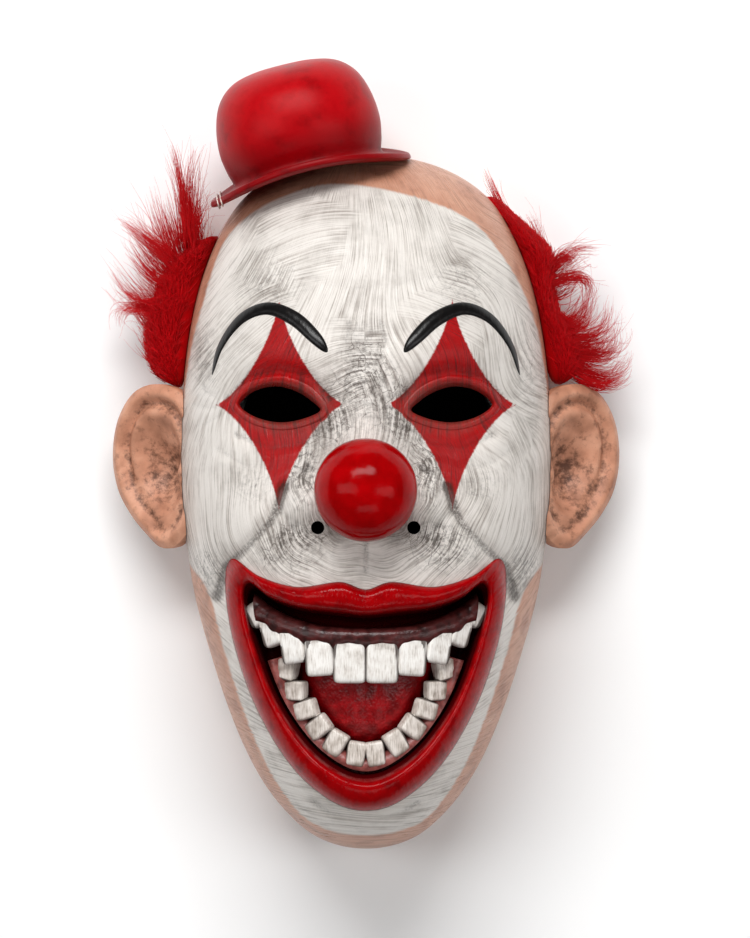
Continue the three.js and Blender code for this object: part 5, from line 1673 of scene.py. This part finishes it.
# Darker clouds towards the bottom of the hat, low on the crown and on the brim.
thin = add(tree, "Attribute", attribute_name="near_brim").outputs["Fac"]
thin = add(tree, "Math", {0: thin, 1: clouds}, operation="MULTIPLY").outputs[0]
red = add(tree, "Mix", {0: thin, 6: red, 7: linear("#3c0003")}, data_type="RGBA").outputs[2]
tree.links.new(red, shader.inputs["Base Color"])
gloss = add(tree, "MapRange", {"Value": clouds, "From Min": 0.3, "From Max": 0.7,
                               "To Min": 0.32, "To Max": 0.44}).outputs[0]
tree.links.new(gloss, shader.inputs["Roughness"])
rough = add(tree, "Bump", {"Height": clouds, "Strength": 0.2, "Distance": 0.0006}).outputs[0]
rough = add(tree, "Bump", {"Height": dust, "Strength": 0.2, "Distance": 0.0003,
                           "Normal": rough}).outputs[0]
tree.links.new(rough, shader.inputs["Normal"])
dress(hat, "red_paint", hat_paint, replaces=["hat"])

# %% [markdown]
# ## The two threads on the brim
#
# Two loops of pale nylon thread go round the brim near its left end. A loop is a round section
# carried along a flat oval that just clears the brim.

# %% The threads
THREAD_RADIUS = 0.35
THREAD_PLACES = (-42.6, -41.0)
THREAD_CLEARANCE = 0.7
THREAD_MIDDLE = 1.9
THREAD_HALF_HEIGHT = 2.9


def thread_loops(across):
    """An oval round the brim, its long way across the brim's edge, with a round section. The
    section's place is its radius times the cosine outwards and times the sine sideways."""
    turn = (np.arange(120) / 120 * 2 * np.pi)[:, None]
    section = np.arange(10) / 10 * 2 * np.pi
    reach = np.sqrt(BRIM_RADIUS ** 2 - across ** 2) + THREAD_CLEARANCE
    droop = BRIM_SIDE_DROOP * (across / BRIM_RADIUS) ** 2
    out = THREAD_RADIUS * np.cos(section)
    x = across + THREAD_RADIUS * np.sin(section) + 0 * turn
    y = THREAD_MIDDLE - droop + (THREAD_HALF_HEIGHT + out) * np.sin(turn)
    z = (reach + out) * np.sign(np.cos(turn)) * np.abs(np.cos(turn)) ** 0.5
    return stand_hat(x, y, z)


thread_paint, tree, shader = start_material("twisted_nylon_thread", IOR=1.53, Roughness=0.35)
place = add(tree, "TexCoord").outputs["Object"]
# The two plies of the thread turn once in a millimetre.
plies = add(tree, "TexWave", {"Vector": place, "Scale": sized(1) / 6.3, "Distortion": 2.0})
plies = plies.outputs["Fac"]
pale = add(tree, "ValToRGB", {0: plies}, [(0.2, "#b59c90"), (0.8, "#e6d8ce")]).outputs[0]
tree.links.new(pale, shader.inputs["Base Color"])
rough = add(tree, "Bump", {"Height": plies, "Strength": 0.4, "Distance": 0.0002}).outputs[0]
tree.links.new(rough, shader.inputs["Normal"])
for number, across in enumerate(THREAD_PLACES):
    thread = make_object(f"brim_thread_{number + 1}", ring(thread_loops(across)), smooth_angle=60)
    dress(thread, "red_paint", thread_paint)
print("thread corners", len(thread.data.vertices))

# %% [markdown]
# ## Tufts of red fur
#
# The fur is long-pile acrylic glued on in a strip. Combed up along the head it makes a solid body
# like a crescent, and only its outer edge breaks up into frizzy locks. So each side gets a body,
# a coat of short fibres that follow the body's own surface upwards, and loose locks that curl
# away from it. A fibre is a thin three-sided taper, so many thousands of them stay light.

# %% The body of the fur
FUR_MIDDLE_HEIGHT = 27
FUR_HALF_DEPTH = 12.5
FUR_OVERLAP = 2
FUR_ROWS = 60
FUR_COLUMNS = 40
FUR_SIDE = {"hair_left": -1, "hair_right": 1}
FUR_BODY = {
    # height over the mask's middle and thickness out from the wall, in mm, from the ear up
    "hair_left": np.array([
        (51.5, 7), (57, 13), (64, 16.5), (72, 18.5), (82, 19), (91, 18), (99, 16.5),
        (106, 14), (111, 11), (116, 7.5), (120, 4),
    ]),
    "hair_right": np.array([
        (53, 12), (59, 16.5), (67, 16), (75, 13.5), (81, 10.5), (88, 8.5), (96, 9),
        (104, 11.5), (111, 13), (117, 10.5), (123, 7.5), (130, 5), (138, 2.5),
    ]),
}
# Where the wall of the shell stands at each height: the last place out where the dome has depth.
climb_x, climb_y = np.meshgrid(np.linspace(25, 92, 336), np.linspace(45, 145, 101))
WALL_AT = (climb_y[:, 0], (climb_x * (dome(climb_x, climb_y) > 0.5)).max(axis=1))
print("wall beside the fur", WALL_AT[1][::20].round(1))

# %% A place on a tuft
def fur_surface(node, along, turn, swell):
    """Place on a body, or swell times as far from its spine. The spine runs at half the
    thickness beside the wall. The section is an oval, as deep as the strip, which closes at
    both ends by the root of 1 minus the end's share to the sixth power."""
    side = FUR_SIDE[node]
    table = FUR_BODY[node]
    up, thick = through(np.linspace(0, 1, len(table)), table, along).T
    wall = np.interp(up, *WALL_AT) - FUR_OVERLAP
    slope = np.interp(up + 2, *WALL_AT) - np.interp(up - 2, *WALL_AT)
    lean = np.arctan2(slope, 4)
    close = np.sqrt(np.maximum(1 - (2 * along - 1) ** 6, 0)) * swell
    half = (thick + FUR_OVERLAP) / 2 * close
    x = side * (wall + (thick + FUR_OVERLAP) / 2 + half * np.cos(turn) * np.cos(lean))
    y = up - half * np.cos(turn) * np.sin(lean)
    z = FUR_MIDDLE_HEIGHT + FUR_HALF_DEPTH * close * np.sin(turn)
    return np.stack([x, y, z], axis=-1)


def fur_body(node):
    """The body as a closed grid of rows along it and columns round it."""
    along = (1 - np.cos(np.linspace(0.03, 0.97, FUR_ROWS) * np.pi)) / 2
    turn = np.arange(FUR_COLUMNS) / FUR_COLUMNS * 2 * np.pi
    every_along, every_turn = np.repeat(along, FUR_COLUMNS), np.tile(turn, FUR_ROWS)
    return fur_surface(node, every_along, every_turn, 0.9).reshape(FUR_ROWS, FUR_COLUMNS, 3)


print("the left body reaches out to", fur_body("hair_left")[..., 0].min().round(1), "mm")

# %% [markdown]
# ## Fibres, coat and locks
#
# Blender's own hair curves would be quick to comb, but they can't be exported with the part. So
# every fibre is a small mesh: a three-sided taper round a path, 18 to 36 corners each. The coat
# lies on the body and makes it velvety. The locks are parabolas that reach out from it.

# %% Fibres
FIBRE_FLOOR = 1.0


def tapers(path, radius):
    """Corners and faces of three-sided tapers along paths, an array of fibres, steps and three
    coordinates. A fibre's radius falls by three quarters from root to tip, and no corner lies
    under the fibre floor."""
    count, steps, _ = path.shape
    run = np.gradient(path, axis=1)
    run /= np.linalg.norm(run, axis=-1, keepdims=True) + 1e-9
    first = np.cross(run, (0.2, 0.1, 1.0))
    first /= np.linalg.norm(first, axis=-1, keepdims=True) + 1e-9
    second = np.cross(run, first)
    thin = radius[:, None] * (1 - 0.75 * np.linspace(0, 1, steps) ** 2)
    turn = np.arange(3) / 3 * 2 * np.pi
    rim = first[:, :, None] * np.cos(turn)[:, None] + second[:, :, None] * np.sin(turn)[:, None]
    points = path[:, :, None] + rim * thin[:, :, None, None]
    points[..., 2] = np.maximum(points[..., 2], FIBRE_FLOOR)
    base = (np.arange(count) * steps * 3)[:, None, None]
    level = (np.arange(steps - 1) * 3)[None, :, None]
    here = np.arange(3)[None, None, :]
    after = (here + 1) % 3
    walls = np.stack(np.broadcast_arrays(
        base + level + here, base + level + after,
        base + level + 3 + after, base + level + 3 + here,
    ), axis=-1).reshape(-1, 4)
    tail = (steps - 1) * 3
    caps = np.concatenate([base[:, 0] + (0, 2, 1), base[:, 0] + tail + (0, 1, 2)])
    return points.reshape(-1, 3), walls.tolist() + caps.tolist()


straight = np.linspace((0, 0, 5), (0, 9, 5), 6)[None]
print("a fibre of 6 steps has", len(tapers(straight, np.array([0.2]))[1]), "faces")

# %% The coat
COAT_COUNT = 6000
COAT_STEPS = 6


def coat(node, seed):
    """Short fibres on the body. A fibre starts at a place along and round the body and climbs
    along it, while it lifts off and leans outwards."""
    random = np.random.default_rng(seed)
    side = FUR_SIDE[node]
    start = random.random(COAT_COUNT) * 0.93
    turn = random.uniform(-1.7, 1.9, COAT_COUNT)
    steps = np.linspace(0, 1, COAT_STEPS)
    climb = random.uniform(0.04, 0.15, COAT_COUNT)
    along = np.clip(start[:, None] + climb[:, None] * steps, 0, 1)
    round_place = turn[:, None] + random.normal(0, 0.3, (COAT_COUNT, 1)) * steps
    lift = 0.88 + random.uniform(0.02, 0.3, (COAT_COUNT, 1)) * steps
    path = fur_surface(node, along.ravel(), round_place.ravel(), lift.ravel())
    path = path.reshape(COAT_COUNT, COAT_STEPS, 3)
    bend = np.sin(steps * 3 + random.uniform(0, 6.3, (COAT_COUNT, 1)))
    path[..., 0] += bend * random.uniform(0.1, 0.8, (COAT_COUNT, 1)) * steps
    path[..., 0] += side * random.uniform(0, 2.0, (COAT_COUNT, 1)) * steps ** 2
    radius = random.uniform(0.17, 0.29, COAT_COUNT)
    length = np.tile(np.repeat(steps, 3), COAT_COUNT)
    shade = np.repeat(random.random(COAT_COUNT), COAT_STEPS * 3)
    return tapers(path, radius), shade, length


print("each coat has", COAT_COUNT, "fibres")

# %% The locks
LOCKS = {
    # root, middle and tip in mm, spread at the root and the tip in mm, fibres
    "hair_left": np.array([
        (-80.5, 116, -83, 138, -87.5, 160, 3.4, 2.2, 150),
        (-77, 114, -80, 138, -77, 160, 3.2, 4.2, 120),
        (-84, 106, -97, 117, -110, 127, 4.0, 2.6, 170),
        (-88, 110, -93, 124, -98, 140, 3.0, 4.5, 60),
        (-90, 92, -103, 91, -114, 103, 4.0, 3.5, 110),
        (-92, 82, -105, 88, -112, 82, 4.5, 2.5, 120),
        (-88, 98, -97, 102, -105, 112, 4.5, 4.5, 120),
        (-85, 114, -89, 126, -92, 138, 3.5, 5.0, 80),
        (-94, 76, -100, 82, -104, 90, 4.5, 4.0, 110),
        (-94, 66, -98, 70, -101, 76, 5.0, 3.5, 90),
        (-79, 121, -76, 132, -71, 141, 3.0, 4.0, 50),
        (-90, 58, -95, 61, -99, 66, 4.0, 3.5, 60),
        (-91, 100, -101, 110, -106, 121, 5.0, 5.0, 60),
        (-79, 112, -80, 124, -82, 137, 4.5, 8.0, 140),
        (-86, 104, -93, 114, -98, 127, 6.0, 9.0, 130),
        (-91, 86, -99, 93, -106, 103, 8.0, 9.0, 130),
    ]),
    "hair_right": np.array([
        (67, 122, 60.5, 135, 55, 149, 2.2, 1.6, 110),
        (78, 114, 77, 121, 74, 129, 3.0, 3.5, 60),
        (84, 105, 93, 113, 105, 115, 3.5, 4.0, 80),
        (83, 98, 99, 101, 99, 85, 3.0, 3.0, 100),
        (87, 84, 97, 80, 101, 92, 3.0, 3.0, 100),
        (92, 74, 106, 76, 111, 88, 4.0, 4.0, 100),
        (94, 68, 109, 67, 113, 78, 4.0, 4.0, 110),
        (95, 61, 110, 56, 119, 65, 4.0, 4.0, 130),
        (96, 56, 108, 53, 118, 57, 3.2, 3.2, 110),
        (90, 80, 98, 86, 103, 96, 4.0, 5.0, 70),
        (85, 108, 91, 111, 94, 106, 3.0, 3.5, 70),
        (94, 66, 103, 68, 106, 74, 5.0, 4.5, 120),
        (84, 92, 92, 96, 96, 105, 3.0, 5.0, 50),
        (82, 100, 90, 106, 96, 110, 6.0, 8.0, 90),
        (91, 70, 101, 74, 108, 80, 7.0, 8.0, 140),
    ]),
}
LOCK_STEPS = 12
LOCK_LIMIT = 121
FIBRE_COUNTS = {node: int(table[:, 8].sum()) for node, table in LOCKS.items()}
print("fibres in the locks:", FIBRE_COUNTS)

# %% The fibres of the locks
def frizz(node, seed):
    """Loose locks. A fibre follows a parabola through its lock's root, middle and tip, with a
    place across the lock that it keeps, a wave of its own and a length of its own."""
    random = np.random.default_rng(seed)
    table = np.repeat(LOCKS[node], LOCKS[node][:, 8].astype(int), axis=0)
    count = len(table)
    stray = (random.random(count) < 0.25)[:, None]
    reach = random.uniform(0.35, 1.08, count)[:, None]
    t = np.linspace(0, 1, LOCK_STEPS)[None, :] * reach
    root, middle, tip = table[:, None, 0:2], table[:, None, 2:4], table[:, None, 4:6]
    u = t[..., None]
    # The parabola through three points at 0, one half and one.
    path = root * (1 - u) * (1 - 2 * u) + middle * 4 * u * (1 - u) + tip * u * (2 * u - 1)
    across = random.normal(0, 0.5, (count, 1, 2))
    spread = table[:, None, 6:7] * (1 - u) + table[:, None, 7:8] * u * (1 + 1.2 * stray[..., None])
    path = path + across * spread
    waves = random.uniform(3, 9, (count, 1)) * t + random.uniform(0, 6.3, (count, 1))
    size = random.uniform(0.3, 1.5, (count, 1)) * (1 + 1.2 * stray) * t
    path[..., 0] += size * np.sin(waves)
    path[..., 1] += size * np.cos(waves * 1.13 + 1)
    side = FUR_SIDE[node]
    deep = random.normal(0, 5.5, (count, 1)) * (1 - 0.4 * t) + random.normal(0, 3, (count, 1)) * t
    wall = np.interp(path[..., 1], *WALL_AT)
    inner = side * path[..., 0] < wall + 1
    path[..., 0] = np.where(inner, side * (wall + 1), path[..., 0])
    # A fibre that reaches out too far is drawn back towards its root, so none is cut off.
    first = np.abs(path[:, :1, 0])
    farthest = np.abs(path[..., 0]).max(-1, keepdims=True)
    share = np.minimum((LOCK_LIMIT - first) / np.maximum(farthest - first, 1), 1)
    path[..., 0] = side * (first + (np.abs(path[..., 0]) - first) * share)
    path = np.concatenate([path, (FUR_MIDDLE_HEIGHT + deep)[..., None]], axis=-1)
    radius = random.uniform(0.07, 0.15, count)
    length = np.tile(np.repeat(0.4 + 0.6 * np.linspace(0, 1, LOCK_STEPS), 3), count)
    shade = np.repeat(0.3 + 0.7 * random.random(count), LOCK_STEPS * 3)
    return tapers(path, radius), shade, length


print("a lock's fibre has", LOCK_STEPS, "steps")

# %% [markdown]
# ## Dyed acrylic fibre
#
# Acrylic pile is drawn from a nozzle, so each fibre is smooth and gleams a little along its
# length, but together they scatter the light. Every fibre gets a shade of its own, and all are a
# little darker at the root, where less light reaches.

# %% Fur colour and the pieces
fur, tree, shader = start_material(
    "long_pile_acrylic_fur", IOR=1.4, Roughness=0.5, Specular_IOR_Level=0.2,
)
red = add(tree, "Attribute", attribute_name="shade").outputs["Fac"]
red = add(tree, "ValToRGB", {0: red}, [
    (0.0, "#a80006"), (0.35, "#be0009"), (0.75, "#cc000c"), (1.0, "#da0a14"),
]).outputs[0]
root_shade = add(tree, "Attribute", attribute_name="length").outputs["Fac"]
root_shade = add(tree, "MapRange", {"Value": root_shade, "From Min": 0.0,
                                    "From Max": 0.4, "To Min": 0.15, "To Max": 0.0}).outputs[0]
red = add(tree, "Mix", {0: root_shade, 6: red, 7: linear("#5a0002")}, data_type="RGBA").outputs[2]
tree.links.new(red, shader.inputs["Base Color"])

for number, node in enumerate(FUR_BODY):
    body = make_object(node + "_body", skin(fur_body(node)), smooth_angle=60)
    cut(body, [seat], smooth_angle=60)
    note(body, "shade", np.full(len(body.data.vertices), 0.4))
    note(body, "length", np.full(len(body.data.vertices), 0.3))
    dress(body, "red_fur", fur, replaces=[node])
    for name, make in (("coat", coat), ("locks", frizz)):
        shape, shade, length = make(node, 20 + number)
        fibres = make_object(f"{node}_{name}", shape, smooth_angle=180)
        note(fibres, "shade", shade)
        note(fibres, "length", length)
        dress(fibres, "red_fur", fur)
        print(fibres.name, len(fibres.data.polygons), "faces")
bpy.data.objects.remove(seat)

# %% [markdown]
# ## The two boxes
#
# The imported model's box and the dressed model's box are gathered side by side, and the dressed
# box is printed.

# %% Finish
size = {"cad": [list(c) for c in cad_box], "visual": [list(c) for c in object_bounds()]}
print("dressed box in metres:", [[round(v, 3) for v in corner] for corner in size["visual"]])
